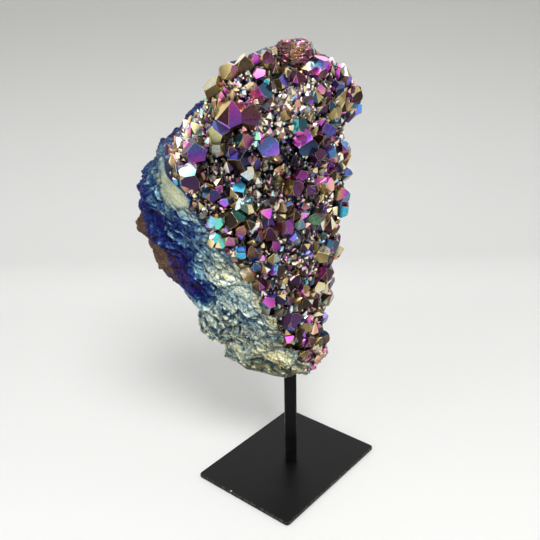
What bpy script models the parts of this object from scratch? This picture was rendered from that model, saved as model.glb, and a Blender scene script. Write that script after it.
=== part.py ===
"""Aura amethyst cluster on a black steel stand: one stone, one square post, one base plate.

The object stands on z = 0 with the plate's long side along X. The stone and the post are laid out
in their own axes, x to the right, y to the back and z up, about the middle of the post. The whole
of that is turned on the plate.
"""

import math

import bmesh
import bpy
import numpy as np
from mathutils import Matrix, Vector

# ---------------------------------------------------------------- driving dimensions, in millimetres
MM = 0.001

PLATE_LENGTH = 116.0
PLATE_WIDTH = 90.0
PLATE_THICK = 3.0
PLATE_CORNER = 2.5

POST_SIDE = 9.5
POST_EDGE = 0.9
BROKEN_EDGE = 0.4
POST_TOP = 106.0
POST_OFF_CENTRE = (2.5, -0.8)
STONE_TURN = -50.0
GAP = 0.3

HOLE_SIDE = POST_SIDE + 2 * GAP
HOLE_BOTTOM = 70.0

# The stone is a stack of level sections. Each row has the height, the edge where the crystals stop
# (x, y), the right side (x, y), the left side (x, y) and the y of the back.
SECTIONS = (
    (84, -8, -6, 6, 2, -22, 4, 14),
    (88, -2, -14, 12, -4, -33, 0, 19),
    (95, 6, -21, 16, -9, -43, -3, 23),
    (104, 11, -25, 22, -10, -48, -4, 26),
    (112, 11, -28, 26, -11, -51, -3, 28),
    (120, 6, -30, 24, -12, -59, -1, 29),
    (130, 0, -33, 22, -12, -65, 1, 29),
    (140, -6, -36, 23, -12, -67, 2, 29),
    (150, -11, -38, 26, -12, -73, 2, 29),
    (160, -17, -40, 28, -11, -80, 3, 29),
    (170, -21, -42, 27, -12, -86, 3, 29),
    (180, -25, -43, 29, -11, -93, 4, 29),
    (190, -31, -45, 33, -10, -99, 4, 29),
    (200, -40, -47, 33, -10, -104, 4, 28),
    (212, -48, -49, 35, -10, -105, 4, 27),
    (224, -56, -51, 36, -9, -106, 4, 26),
    (236, -63, -53, 36, -9, -103, 4, 24),
    (246, -61, -53, 37, -9, -99, 4, 22),
    (256, -66, -54, 38, -9, -91, 4, 20),
    (266, -65, -52, 37, -8, -83, 4, 18),
    (276, -61, -49, 36, -7, -73, 2, 16),
    (286, -54, -46, 44, -6, -61, 0, 14),
    (296, -47, -42, 47, -6, -51, -2, 12),
    (306, -41, -39, 40, -8, -44, -4, 9),
    (314, -34, -36, 32, -10, -37, -6, 5),
    (321, -22, -32, 21, -12, -26, -8, 0),
    (327, -10, -28, 11, -14, -14, -12, -6),
)
FACE_BULGE = 0.09
RIM_BULGE = 0.10
LEVELS = 36
ROUND = 44

# Crystals on the face: x and z of the foot, radius across the flats, then where the point looks:
# degrees round to the right from the front, degrees up, and the turn about its own length.
CRYSTALS = (
    (-36, 292, 9.5, 5, 45, 295),
    (-24, 291, 8.0, 25, 45, 245),
    (-43, 304, 7.5, 0, 25, 140),
    (-34, 313, 7.0, 10, 40, 185),
    (-26, 320, 6.0, 0, 45, 270),
    (-14, 321, 5.0, 5, 60, 40),
    (-18, 311, 5.0, -20, 0, 80),
    (-17, 302, 6.5, -15, 35, 250),
    (-6, 308, 5.0, -5, 25, 160),
    (4, 310, 5.0, 0, 40, 80),
    (21, 314, 9.5, 25, 25, 90),
    (17, 311, 5.5, 0, 0, 110),
    (29, 303, 4.5, 10, 15, 180),
    (42, 296, 5.0, 35, 30, 255),
    (43, 288, 4.5, 45, 30, 210),
    (27, 288, 5.0, 10, 35, 220),
    (4, 283, 5.5, 0, 35, 215),
    (23, 278, 6.5, -5, 35, 300),
    (9, 270, 7.5, 25, 20, 125),
    (18, 271, 5.5, 20, 25, 200),
    (-12, 268, 8.5, 25, 0, 135),
    (35, 260, 5.5, 50, 20, 230),
    (16, 260, 6.5, 5, 0, 60),
    (26, 260, 6.0, 20, 0, 140),
    (6, 252, 5.5, 5, 30, 295),
    (28, 247, 4.5, 20, 35, 240),
    (36, 244, 5.5, 60, 5, 140),
    (23, 241, 6.0, 5, 20, 115),
    (0, 244, 7.0, 5, 35, 200),
    (33, 229, 7.0, 45, 25, 35),
    (-44, 281, 7.0, 15, 0, 55),
    (-57, 270, 7.5, 5, 45, 280),
    (-63, 257, 9.0, 15, 15, 115),
    (-44, 271, 5.0, 15, 30, 225),
    (-30, 276, 6.0, 5, 35, 200),
    (-32, 264, 7.5, 5, 15, 50),
    (-26, 257, 5.5, 30, 40, 220),
    (-50, 246, 5.5, 10, 30, 55),
    (-32, 246, 5.0, 25, 0, 110),
    (-26, 236, 5.5, 15, 15, 115),
    (-36, 228, 6.5, 20, 0, 55),
    (-5, 217, 6.5, 10, 45, 215),
    (16, 220, 6.0, 0, 30, 20),
    (-14, 215, 6.0, 0, 40, 35),
    (34, 219, 6.0, 40, 20, 100),
    (-48, 226, 5.0, 5, 35, 195),
    (-26, 204, 5.5, -5, 45, 285),
    (26, 197, 6.0, 20, 35, 195),
    (21, 195, 6.0, 30, 10, 95),
    (31, 189, 5.5, 55, 20, 170),
    (-28, 188, 5.5, 15, 20, 140),
    (22, 177, 6.5, 15, 35, 195),
    (25, 163, 5.5, 25, 30, 195),
    (-11, 189, 5.5, 10, 35, 195),
    (17, 168, 5.5, 10, 40, 55),
    (-14, 167, 5.5, 25, 30, 95),
    (-2, 149, 7.0, 15, 45, 190),
    (24, 153, 6.5, 40, 30, 180),
    (9, 159, 5.5, -5, 35, 285),
    (21, 138, 5.0, 60, 30, 145),
    (10, 139, 5.0, 25, 35, 220),
    (22, 121, 5.0, 60, 35, 350),
    (11, 126, 5.0, 5, 45, 210),
)
CRYSTAL_SIDES = 6
END_SLOPE = 51.8
SMALL_FACE_BACK = 0.33
OUT_OF_STONE = 0.45
IN_STONE = 1.0

FILL_SEED = 7
FILL_COUNT = 40
FILL_RADIUS = (2.8, 4.2)
FILL_LOOKS_UP = 20
FILL_HEIGHTS = (104, 318)
FACE_SHARE = 0.32

# Bare rock: ledges that step down to the right, softer lumps, and pits.
LEDGE_SPACING = 30.0
LEDGE_DEPTH = 4.6
LEDGE_FALL = 0.5
LUMP_SIZE = 26.0
LUMP_DEPTH = 5.5
CHIP_SIZE = 14.0
CHIP_DEPTH = 4.0

# Crusted knobs without flat faces: middle (x, y, z) and half sizes.
KNOBS = (
    ((3, -24, 324), (13, 9, 9)),
    ((17, -19, 108), (9, 8, 7)),
)
KNOB_ROUGHNESS = 1.6

COLOURS = {
    "aura_quartz": (0.13, 0.06, 0.16, 0.25, 0.9),
    "black_paint": (0.012, 0.012, 0.013, 0.45, 0.0),
}


# ---------------------------------------------------------------- scene and materials
def clear_scene():
    for item in list(bpy.data.objects):
        bpy.data.objects.remove(item, do_unlink=True)
    for group in list(bpy.data.collections):
        bpy.data.collections.remove(group)


def new_collection(name):
    group = bpy.data.collections.new(name)
    bpy.context.scene.collection.children.link(group)
    return group


def principled(name):
    red, green, blue, roughness, metallic = COLOURS[name]
    material = bpy.data.materials.new(name)
    material.use_nodes = True
    shader = material.node_tree.nodes["Principled BSDF"]
    shader.inputs["Base Color"].default_value = (red, green, blue, 1.0)
    shader.inputs["Roughness"].default_value = roughness
    shader.inputs["Metallic"].default_value = metallic
    return material


def object_from(name, shape, group, material=None):
    """An object in metres from a bmesh in millimetres, which it uses up."""
    bmesh.ops.scale(shape, vec=(MM, MM, MM), verts=shape.verts)
    bmesh.ops.recalc_face_normals(shape, faces=shape.faces)
    mesh = bpy.data.meshes.new(name)
    shape.to_mesh(mesh)
    shape.free()
    item = bpy.data.objects.new(name, mesh)
    group.objects.link(item)
    if material:
        mesh.materials.append(material)
    return item


def hide_helper(item):
    item.hide_render = True
    item.display_type = "WIRE"


# ---------------------------------------------------------------- stand
def bar(name, size, corner, bottom, group, material=None):
    """A rectangular bar that stands on a height, with its upright edges rounded."""
    shape = bmesh.new()
    bmesh.ops.create_cube(shape, size=1.0)
    bmesh.ops.scale(shape, vec=size, verts=shape.verts)
    bmesh.ops.translate(shape, vec=(0, 0, bottom + size[2] / 2), verts=shape.verts)
    upright = [edge for edge in shape.edges if abs(edge.verts[0].co.z - edge.verts[1].co.z) > size[2] / 2]
    bmesh.ops.bevel(shape, geom=upright, offset=corner, segments=3, profile=0.5, affect="EDGES")
    return object_from(name, shape, group, material)


def break_edges(item):
    """A small chamfer round the two ends of a bar."""
    step = item.modifiers.new("broken_edges", "BEVEL")
    step.width = MM * BROKEN_EDGE
    step.segments = 1
    step.limit_method = "ANGLE"
    step.angle_limit = math.radians(60)


def base_plate(group, material):
    plate = bar("base_plate", (PLATE_LENGTH, PLATE_WIDTH, PLATE_THICK), PLATE_CORNER, 0.0, group, material)
    break_edges(plate)


def post(group, material):
    bottom = PLATE_THICK + GAP
    upright = bar("post", (POST_SIDE, POST_SIDE, POST_TOP - bottom), POST_EDGE, bottom, group, material)
    break_edges(upright)
    return upright


# ---------------------------------------------------------------- the stone's skin
def ring_points(row):
    """Ten points round one level section, from the crystals' edge along the face to the right."""
    _, edge_x, edge_y, right_x, right_y, left_x, left_y, back = row
    edge = np.array((edge_x, edge_y), float)
    right = np.array((right_x, right_y), float)
    left = np.array((left_x, left_y), float)
    width = right_x - left_x
    face = right - edge
    face_out = np.array((face[1], -face[0]))
    rim = edge - left
    rim_out = np.array((rim[1], -rim[0]))
    return np.array((
        edge,
        edge + 0.33 * face + FACE_BULGE * face_out,
        edge + 0.70 * face + FACE_BULGE * face_out,
        right,
        (right_x - 0.10 * width, 0.35 * right_y + 0.65 * back),
        (right_x - 0.32 * width, back),
        (right_x - 0.58 * width, 1.02 * back),
        (left_x + 0.16 * width, 0.86 * back + 0.14 * left_y),
        left,
        (edge + left) / 2 + RIM_BULGE * rim_out,
    ))


def hermite(before, after, slope_before, slope_after, part):
    return (
        (2 * part**3 - 3 * part**2 + 1) * before
        + (part**3 - 2 * part**2 + part) * slope_before
        + (3 * part**2 - 2 * part**3) * after
        + (part**3 - part**2) * slope_after
    )


def stone_grid(levels, around):
    """The stone's skin as levels x around points, smooth in height and round each section."""
    rows = np.array(SECTIONS, float)
    knots = rows[:, 0]
    rings = np.array([ring_points(row) for row in rows])
    heights = np.linspace(knots[0], knots[-1], levels)
    index = np.clip(np.searchsorted(knots, heights, side="right") - 1, 0, len(knots) - 2)
    step = (knots[index + 1] - knots[index])[:, None, None]
    part = (heights - knots[index])[:, None, None] / step
    slopes = np.gradient(rings.reshape(len(knots), -1), knots, axis=0).reshape(rings.shape)
    shape = hermite(rings[index], rings[index + 1], slopes[index] * step, slopes[index + 1] * step, part)
    count = rings.shape[1]
    place = np.arange(around) / around * count
    low = np.floor(place).astype(int)
    a, b, c, d = (shape[:, (low + shift) % count] for shift in (-1, 0, 1, 2))
    flat = hermite(b, c, (c - a) / 2, (d - b) / 2, (place - low)[None, :, None])
    upright = np.broadcast_to(heights[:, None, None], flat.shape[:2] + (1,))
    return np.concatenate((flat, upright), axis=2)


def outward(grid):
    """Unit vectors out of the skin at each point of the grid."""
    along = np.roll(grid, -1, axis=1) - np.roll(grid, 1, axis=1)
    up = np.gradient(grid, axis=0)
    out = np.cross(along, up)
    return out / np.maximum(np.linalg.norm(out, axis=2, keepdims=True), 1e-9)


def scatter(cells):
    """A fixed number from -1 to 1 for each whole-number cell."""
    mixed = np.sin(cells @ np.array((12.9898, 78.233, 37.719))) * 43758.5453
    return 2 * (mixed - np.floor(mixed)) - 1


def value_noise(points, size):
    """Smooth noise from -1 to 1 whose lumps are about this size."""
    cells = np.floor(points / size)
    part = points / size - cells
    part = part * part * (3 - 2 * part)
    total = 0.0
    for corner in np.ndindex(2, 2, 2):
        weight = np.prod(np.where(corner, part, 1 - part), axis=-1)
        total = total + weight * scatter(cells + corner)
    return total


def rock_relief(points):
    """How far the bare rock stands out: ledges with a steep lower side, lumps and chips."""
    bend = 8 * value_noise(points, 2 * LUMP_SIZE)
    climb = (points[..., 2] + LEDGE_FALL * points[..., 0] + bend) / LEDGE_SPACING
    part = climb - np.floor(climb)
    ledge = np.minimum(part / 0.25, (1 - part) / 0.75) - 0.5
    lump = value_noise(points + 40.0, LUMP_SIZE)
    chip = value_noise(points + 90.0, CHIP_SIZE)
    return LEDGE_DEPTH * ledge + LUMP_DEPTH * lump + CHIP_DEPTH * chip


def rock_share(around):
    """1 where a section is bare rock, falling to 0 on the crystal face."""
    count = 10
    place = np.arange(around) / around * count
    return np.clip(np.minimum(place - 3.0, count - place) / 0.9, 0.0, 1.0)


def stone_body(group, material):
    """The stone without its crystals: the skin with its relief, closed above and below."""
    grid = stone_grid(LEVELS, ROUND)
    level = np.arange(LEVELS)
    calm = np.clip(np.minimum(level, LEVELS - 1 - level) / 2, 0.0, 1.0)
    relief = rock_relief(grid) * rock_share(ROUND) * calm[:, None]
    grid = grid + outward(grid) * relief[..., None]
    shape = bmesh.new()
    rings = [[shape.verts.new(point) for point in ring] for ring in grid]
    for low, high in zip(rings, rings[1:]):
        for k in range(ROUND):
            n = (k + 1) % ROUND
            shape.faces.new((low[k], low[n], high[n], high[k]))
    shape.faces.new(rings[0])
    shape.faces.new(rings[-1])
    bmesh.ops.poke(shape, faces=shape.faces[-2:])
    return object_from("amethyst_cluster", shape, group, material)


# ---------------------------------------------------------------- crystals and knobs
def quartz_point(radius, draw):
    """A six-sided crystal along Z, cut to a point by three large end faces and three small ones."""
    shape = bmesh.new()
    corner = radius / math.cos(math.pi / CRYSTAL_SIDES)
    top = OUT_OF_STONE * radius + radius * math.tan(math.radians(END_SLOPE))
    length = top + IN_STONE * radius
    bmesh.ops.create_cone(
        shape, cap_ends=True, segments=CRYSTAL_SIDES, radius1=corner, radius2=corner, depth=length
    )
    bmesh.ops.translate(shape, vec=(0, 0, length / 2 - IN_STONE * radius), verts=shape.verts)
    for side in range(CRYSTAL_SIDES):
        angle = 2 * math.pi * (side + 0.5) / CRYSTAL_SIDES
        slope = math.radians(END_SLOPE)
        across = math.sin(slope)
        cut = Vector((across * math.cos(angle), across * math.sin(angle), math.cos(slope)))
        back = radius * draw.uniform(-0.06, 0.06)
        if side % 2:
            back += SMALL_FACE_BACK * radius
        pieces = shape.verts[:] + shape.edges[:] + shape.faces[:]
        through = Vector((0, 0, top + back - 0.1 * radius))
        done = bmesh.ops.bisect_plane(
            shape, geom=pieces, dist=1e-5, plane_co=through, plane_no=cut, clear_outer=True
        )
        opened = [item for item in done["geom_cut"] if isinstance(item, bmesh.types.BMEdge)]
        if opened:
            bmesh.ops.holes_fill(shape, edges=opened)
    return shape


def aim(azimuth, elevation, turn):
    """The turn of a crystal whose point looks this way."""
    lean = Matrix.Rotation(math.radians(90 - elevation), 4, "X")
    face = Matrix.Rotation(math.radians(azimuth), 4, "Z")
    return face @ lean @ Matrix.Rotation(math.radians(turn), 4, "Z")


def face_skin():
    """Points of the crystal face and their outward directions, close enough to set a crystal on."""
    grid = stone_grid(240, 200)
    part = slice(0, int(FACE_SHARE * grid.shape[1]))
    return grid[:, part].reshape(-1, 3), outward(grid)[:, part].reshape(-1, 3)


def fill_crystals(skin, out, draw):
    """Smaller crystals between the large ones, as rows like CRYSTALS."""
    placed = [row[:3] for row in CRYSTALS]
    found = []
    while len(found) < FILL_COUNT:
        pick = draw.integers(len(skin))
        x, _, z = skin[pick]
        radius = draw.uniform(*FILL_RADIUS)
        lean_right, lean_up = draw.normal(0, 18, 2)
        turn = draw.uniform(0, 120)
        clear = all(math.hypot(x - px, z - pz) > 0.9 * (radius + pr) for px, pz, pr in placed)
        if not clear or not FILL_HEIGHTS[0] < z < FILL_HEIGHTS[1]:
            continue
        azimuth = math.degrees(math.atan2(out[pick][0], -out[pick][1])) + lean_right
        elevation = math.degrees(math.asin(out[pick][2])) + FILL_LOOKS_UP + lean_up
        placed.append((x, z, radius))
        found.append((x, z, radius, azimuth, elevation, turn))
    return found


def append(target, shape, place):
    """Adds one bmesh to another, moved by a matrix."""
    shape.transform(place)
    mesh = bpy.data.meshes.new("one_crystal")
    shape.to_mesh(mesh)
    shape.free()
    target.from_mesh(mesh)
    bpy.data.meshes.remove(mesh)


def crystal_points(group):
    """Every crystal of the face, as one hidden mesh that is joined to the stone's body."""
    skin, out = face_skin()
    draw = np.random.default_rng(FILL_SEED)
    rows = list(CRYSTALS) + fill_crystals(skin, out, draw)
    points = bmesh.new()
    for x, z, radius, azimuth, elevation, turn in rows:
        foot = skin[np.argmin((skin[:, 0] - x) ** 2 + (skin[:, 2] - z) ** 2)]
        place = Matrix.Translation(foot) @ aim(azimuth, elevation, turn)
        append(points, quartz_point(radius, draw), place)
    return object_from("crystal_points", points, group)


def knob(name, middle, half_sizes, group):
    """A lump of crust with a broken surface."""
    shape = bmesh.new()
    bmesh.ops.create_icosphere(shape, subdivisions=2, radius=1.0)
    for vert in shape.verts:
        spot = Vector(middle) + Vector(half_sizes) * vert.co
        rough = KNOB_ROUGHNESS * float(value_noise(np.array(spot), 5.0))
        vert.co = spot + rough * vert.co
    return object_from(name, shape, group)


def join(target, other, operation, itself=False):
    step = target.modifiers.new(other.name, "BOOLEAN")
    step.operation = operation
    step.solver = "EXACT"
    step.use_self = itself
    step.object = other
    hide_helper(other)


def amethyst_cluster(axis, group, cutters, material):
    """The stone with its crystals and knobs grown on, and the blind hole for the post."""
    stone = stone_body(group, material)
    pieces = [crystal_points(cutters)]
    for number, (middle, half_sizes) in enumerate(KNOBS):
        pieces.append(knob(f"knob_{number}", middle, half_sizes, cutters))
    for piece in pieces:
        join(stone, piece, "UNION", itself=piece is pieces[0])
    hole_size = (HOLE_SIDE, HOLE_SIDE, POST_TOP + GAP - HOLE_BOTTOM)
    hole = bar("post_hole", hole_size, POST_EDGE, HOLE_BOTTOM, cutters)
    join(stone, hole, "DIFFERENCE")
    for item in (stone, *pieces, hole):
        item.parent = axis


# ---------------------------------------------------------------- the object
def build():
    clear_scene()
    parts = new_collection("aura_amethyst_cluster")
    cutters = new_collection("cutters")
    cutters.hide_render = True
    quartz = principled("aura_quartz")
    paint = principled("black_paint")

    axis = bpy.data.objects.new("post_axis", None)
    parts.objects.link(axis)
    axis.location = (MM * POST_OFF_CENTRE[0], MM * POST_OFF_CENTRE[1], 0.0)
    axis.rotation_euler = (0.0, 0.0, math.radians(STONE_TURN))

    base_plate(parts, paint)
    post(parts, paint).parent = axis
    amethyst_cluster(axis, parts, cutters, quartz)


build()
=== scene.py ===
import math

import bpy
import numpy as np
from mathutils import Matrix, Vector


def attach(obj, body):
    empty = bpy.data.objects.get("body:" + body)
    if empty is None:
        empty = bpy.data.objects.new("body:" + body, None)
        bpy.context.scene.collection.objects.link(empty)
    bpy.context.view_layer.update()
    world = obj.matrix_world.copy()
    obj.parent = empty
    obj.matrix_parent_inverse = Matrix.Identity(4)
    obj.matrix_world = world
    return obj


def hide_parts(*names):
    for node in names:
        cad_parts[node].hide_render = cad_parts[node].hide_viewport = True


# Lengths are in millimetres unless a name says otherwise, and meshes are written in metres.
# The stone is laid out about the middle of the post: x to its right, y to its back, z up.
# The whole stone is then turned on the plate.
mm = 0.001
stoneTurn = -50.0
postOffCentre = (2.5, -0.8)

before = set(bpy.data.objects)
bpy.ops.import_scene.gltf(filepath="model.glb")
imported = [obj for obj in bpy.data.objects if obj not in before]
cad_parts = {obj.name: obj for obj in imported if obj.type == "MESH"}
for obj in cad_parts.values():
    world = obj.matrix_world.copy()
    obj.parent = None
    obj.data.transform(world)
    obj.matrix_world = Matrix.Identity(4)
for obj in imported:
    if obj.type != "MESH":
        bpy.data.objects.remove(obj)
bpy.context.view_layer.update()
for startup in ("Cube", "Light", "Camera"):
    if startup in bpy.data.objects:
        bpy.data.objects.remove(bpy.data.objects[startup], do_unlink=True)
print("frame loaded")


def hexColour(text):
    # sRGB hex to linear light
    part = np.array([int(text[k:k + 2], 16) for k in (1, 3, 5)]) / 255
    line = np.where(part <= 0.04045, part / 12.92, ((part + 0.055) / 1.055) ** 2.4)
    return (*line, 1.0)


def turned(points):
    # turned from the stone's axes to the plate's
    angle = math.radians(stoneTurn)
    cosine, sine = math.cos(angle), math.sin(angle)
    turn = np.array(((cosine, -sine, 0), (sine, cosine, 0), (0, 0, 1)))
    return points @ turn.T


def toPlate(points):
    # stone axes in millimetres to the plate's axes in metres
    return (turned(points) + np.array((*postOffCentre, 0.0))) * mm


def addNode(tree, kind, settings=None, links=None):
    # one node: settings are its properties or its sockets' values, links are the sockets it reads
    node = tree.nodes.new("ShaderNode" + kind)
    for name, value in (settings or {}).items():
        if name == "ramp":
            stops = node.color_ramp.elements
            while len(stops) < len(value):
                stops.new(1.0)
            for stop, (place, colour) in zip(stops, value):
                stop.position = place
                stop.color = hexColour(colour)
        elif isinstance(name, str) and hasattr(node, name):
            setattr(node, name, value)
        else:
            node.inputs[name].default_value = value
    for name, source in (links or {}).items():
        tree.links.new(source, node.inputs[name])
    return node


def newMaterial(name):
    # an empty material with its node tree and its shader
    material = bpy.data.materials.new(name)
    material.use_nodes = True
    tree = material.node_tree
    return material, tree, tree.nodes["Principled BSDF"]


def meshPiece(name, points, corners, sizes, material, smooth, cornerData=None, pointData=None):
    # a mesh from arrays: points in stone axes, corners as point numbers face by face, and how many
    # corners each face has
    mesh = bpy.data.meshes.new(name)
    mesh.vertices.add(len(points))
    mesh.vertices.foreach_set("co", toPlate(points).astype(np.float32).ravel())
    mesh.loops.add(len(corners))
    mesh.loops.foreach_set("vertex_index", corners.astype(np.int32))
    mesh.polygons.add(len(sizes))
    mesh.polygons.foreach_set("loop_start", (np.cumsum(sizes) - sizes).astype(np.int32))
    mesh.update(calc_edges=True)
    for domain, table in (("CORNER", cornerData or {}), ("POINT", pointData or {})):
        for key, values in table.items():
            mesh.attributes.new(key, "FLOAT", domain).data.foreach_set("value", values.astype(np.float32))
    if smooth:
        mesh.shade_smooth()
    else:
        mesh.shade_flat()
    mesh.materials.append(material)
    item = bpy.data.objects.new(name, mesh)
    bpy.context.scene.collection.objects.link(item)
    return item


def closedSkin(rows, count, goesDown=False):
    # corners and face sizes of a skin made of rings of points, one above the other. Quads join the rings,
    # and the first and the last ring close onto the two points that come after all rings.
    number = np.arange(rows * count).reshape(rows, count)
    right = np.roll(number, -1, axis=1)
    quads = np.stack((number[:-1], right[:-1], right[1:], number[1:]), axis=-1).reshape(-1, 4)
    end = np.full(count, rows * count)
    ends = np.stack(((right[0], number[0], end), (number[-1], right[-1], end + 1)))
    ends = ends.transpose(0, 2, 1).reshape(-1, 3)
    if goesDown:
        # rings from the top down would be inside out
        quads, ends = quads[:, [0, 3, 2, 1]], ends[:, [1, 0, 2]]
    return np.concatenate((quads.ravel(), ends.ravel())), np.repeat((4, 3), (len(quads), len(ends)))


# Colours of the titanium coat by its thickness, thin to thick.
filmNames = {
    "bare": 0.00, "brown": 0.06, "bronze": 0.10, "burgundy": 0.15, "purple": 0.20, "navy": 0.26,
    "blue": 0.32, "sky": 0.38, "silver": 0.46, "pale": 0.52, "yellow": 0.57, "gold": 0.62,
    "orange": 0.66, "pink": 0.70, "magenta": 0.76, "violet": 0.82, "azure": 0.87, "teal": 0.92,
    "cyan": 0.95, "green": 1.00,
}
# Each film has a painted colour in shade and a painted colour in light; a face's glow mixes them, so light,
# shade and flashes are painted into its colour.
filmInShade = [
    (0.00, "#3A322E"), (0.06, "#40322A"), (0.10, "#4C3A31"), (0.15, "#4A2430"), (0.20, "#482C54"),
    (0.26, "#242C50"), (0.32, "#385274"), (0.38, "#46687A"), (0.46, "#7C8680"), (0.52, "#A29C82"),
    (0.57, "#9A8C5E"), (0.62, "#7C6A40"), (0.66, "#825E48"), (0.70, "#8A4E64"), (0.76, "#7C3074"),
    (0.82, "#4E3A80"), (0.87, "#385276"), (0.92, "#305C62"), (0.95, "#386862"), (1.00, "#465E48"),
]
filmInLight = [
    (0.00, "#A08C7C"), (0.06, "#BC9870"), (0.10, "#C89C7C"), (0.15, "#BC7088"), (0.20, "#9C62B4"),
    (0.26, "#5C6CC0"), (0.32, "#66A0E0"), (0.38, "#8CD6F0"), (0.46, "#F0FBFA"), (0.52, "#FFF6E0"),
    (0.57, "#FAE8AE"), (0.62, "#ECD08E"), (0.66, "#F6BA98"), (0.70, "#FA98D2"), (0.76, "#EE64E4"),
    (0.82, "#9C6CF4"), (0.87, "#54A8F2"), (0.92, "#4CD0EC"), (0.95, "#5CE4E6"), (1.00, "#98E8B4"),
]


def filmColour(tree, film, glow, inShade, inLight):
    # the film's painted colour in shade, going over to its painted colour in light as the glow rises
    shade = addNode(tree, "ValToRGB", {"ramp": inShade}, {"Fac": film}).outputs["Color"]
    light = addNode(tree, "ValToRGB", {"ramp": inLight}, {"Fac": film}).outputs["Color"]
    return addNode(tree, "MixRGB", {}, {"Fac": glow, "Color1": shade, "Color2": light}).outputs["Color"]


# Amethyst points under a titanium coat laid on in a vacuum: glass-smooth metal colour, one tint to a
# facet, with faint growth ripples that break a reflection up.
auraCrystal = {
    "ripple": 1.6, "filmWander": 0.07, "glowWander": 0.5, "roughness": 0.13, "metallic": 0.9,
    "bump": 0.12, "bumpDepth": 0.3, "saturation": 1.0,
    # heights above the skin between which the painted shade of the gaps clears, and its colour
    "darkBelow": 0.9, "clearAbove": 3.9, "gapShadeColour": "#0A0A10",
}
# The same coat on druse, whose points are too small to be clear: a frosty, greyer sparkle.
auraDruse = auraCrystal | {
    "ripple": 0.8, "filmWander": 0.10, "glowWander": 0.8, "roughness": 0.22, "metallic": 0.8,
    "bump": 0.3, "saturation": 0.75, "darkBelow": 0.3, "clearAbove": 2.3,
}


def auraCrystalMaterial(name, made):
    material, tree, shader = newMaterial(name)
    place = addNode(tree, "TexCoord").outputs["Object"]
    film, glow, tall = (
        addNode(tree, "Attribute", {"attribute_name": key}).outputs["Fac"] for key in ("film", "glow", "tall")
    )
    ripple = addNode(
        tree, "TexNoise", {"Scale": 1 / (made["ripple"] * mm), "Detail": 3.0}, {"Vector": place}
    ).outputs["Fac"]
    # the ripples stray the film, and the glow as a painted sparkle of light
    wander, sparkle = (
        addNode(tree, "Math", {"operation": "MULTIPLY_ADD", 1: much, 2: -much / 2}, {0: ripple}).outputs[0]
        for much in (made["filmWander"], made["glowWander"])
    )
    thick = addNode(tree, "Math", {"operation": "ADD"}, {0: film, 1: wander}).outputs[0]
    bright = addNode(tree, "Math", {"operation": "ADD"}, {0: glow, 1: sparkle}).outputs[0]
    colour = filmColour(tree, thick, bright, filmInShade, filmInLight)
    greyed = addNode(
        tree, "HueSaturation", {"Saturation": made["saturation"]}, {"Color": colour}
    ).outputs["Color"]
    # little light gets down between the crystals, and a glow below zero is a facet in deep shade
    lifted = addNode(
        tree, "MapRange", {"From Min": made["darkBelow"], "From Max": made["clearAbove"]}, {"Value": tall}
    ).outputs[0]
    unshaded = addNode(
        tree, "MapRange", {"From Min": -1.0, "From Max": 0.0}, {"Value": bright}
    ).outputs[0]
    seen = addNode(tree, "Math", {"operation": "MULTIPLY"}, {0: lifted, 1: unshaded}).outputs[0]
    lit = addNode(
        tree, "MixRGB", {"Color1": hexColour(made["gapShadeColour"])}, {"Fac": seen, "Color2": greyed}
    ).outputs["Color"]
    bump = addNode(
        tree, "Bump", {"Strength": made["bump"], "Distance": made["bumpDepth"] * mm}, {"Height": ripple}
    )
    tree.links.new(lit, shader.inputs["Base Color"])
    tree.links.new(bump.outputs["Normal"], shader.inputs["Normal"])
    shader.inputs["Metallic"].default_value = made["metallic"]
    shader.inputs["Roughness"].default_value = made["roughness"]
    return material


# The coat on the rock, as a painted colour in shade and a painted colour in light, mixed by the glow.
rockInShade = [
    (0.02, "#3A2A22"), (0.12, "#4A2622"), (0.16, "#3A1A3A"), (0.20, "#241868"), (0.26, "#0C1C6C"),
    (0.32, "#163680"), (0.38, "#305674"), (0.44, "#4A6874"), (0.50, "#667A74"), (0.56, "#7E8468"),
    (0.62, "#7E7648"), (0.70, "#7A4452"), (0.76, "#6A3058"),
]
rockInLight = [
    (0.02, "#9A7C62"), (0.12, "#A86A50"), (0.16, "#8A5A98"), (0.20, "#5A50C0"), (0.26, "#4468C4"),
    (0.32, "#66A0D8"), (0.38, "#98CEE0"), (0.44, "#C4E6E8"), (0.50, "#E8F6E8"), (0.56, "#F6F8D0"),
    (0.62, "#F8EEB0"), (0.70, "#FCBCC4"), (0.76, "#EC98D8"),
]

bareStone = [(0.25, "#2A1A12"), (0.45, "#5A3E28"), (0.6, "#7A5C3E"), (0.8, "#A08660")]

# The same coat on crusted rock: rough metal foil colours over brown stone that the coat didn't reach.
auraRock = {
    # sizes of the crumples, folds, flakes and grain; how far strata draw them out; their fall in degrees
    "crumple": 9.0, "fold": 4.0, "flake": 2.6, "grain": 0.5, "drawnOut": 2.0, "fall": 28.0,
    # the fold lines, darkened by painted shade in their creases: their width in the noise's own measure, the
    # shade's strength and its colour
    "lineWidth": 0.021, "foldShadeStrength": 0.85, "foldShadeColour": "#080E38",
    # the flakes' random numbers between which one starts to stand out with a painted highlight and has it
    # fully, the grain's share beside that, and the factor and offset that turn both into glow, a painted
    # sparkle of light
    "standOut": (0.62, 0.95), "grainShare": 1.4, "sparkle": (0.9, -0.825), "filmWander": 0.08,
    "metallic": 0.8, "coatRough": 0.32, "bareRough": 0.85, "swellRougher": 0.3,
    "bump": 1.0, "bumpDepth": 0.8, "bumpGrain": 0.8,
}


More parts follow.
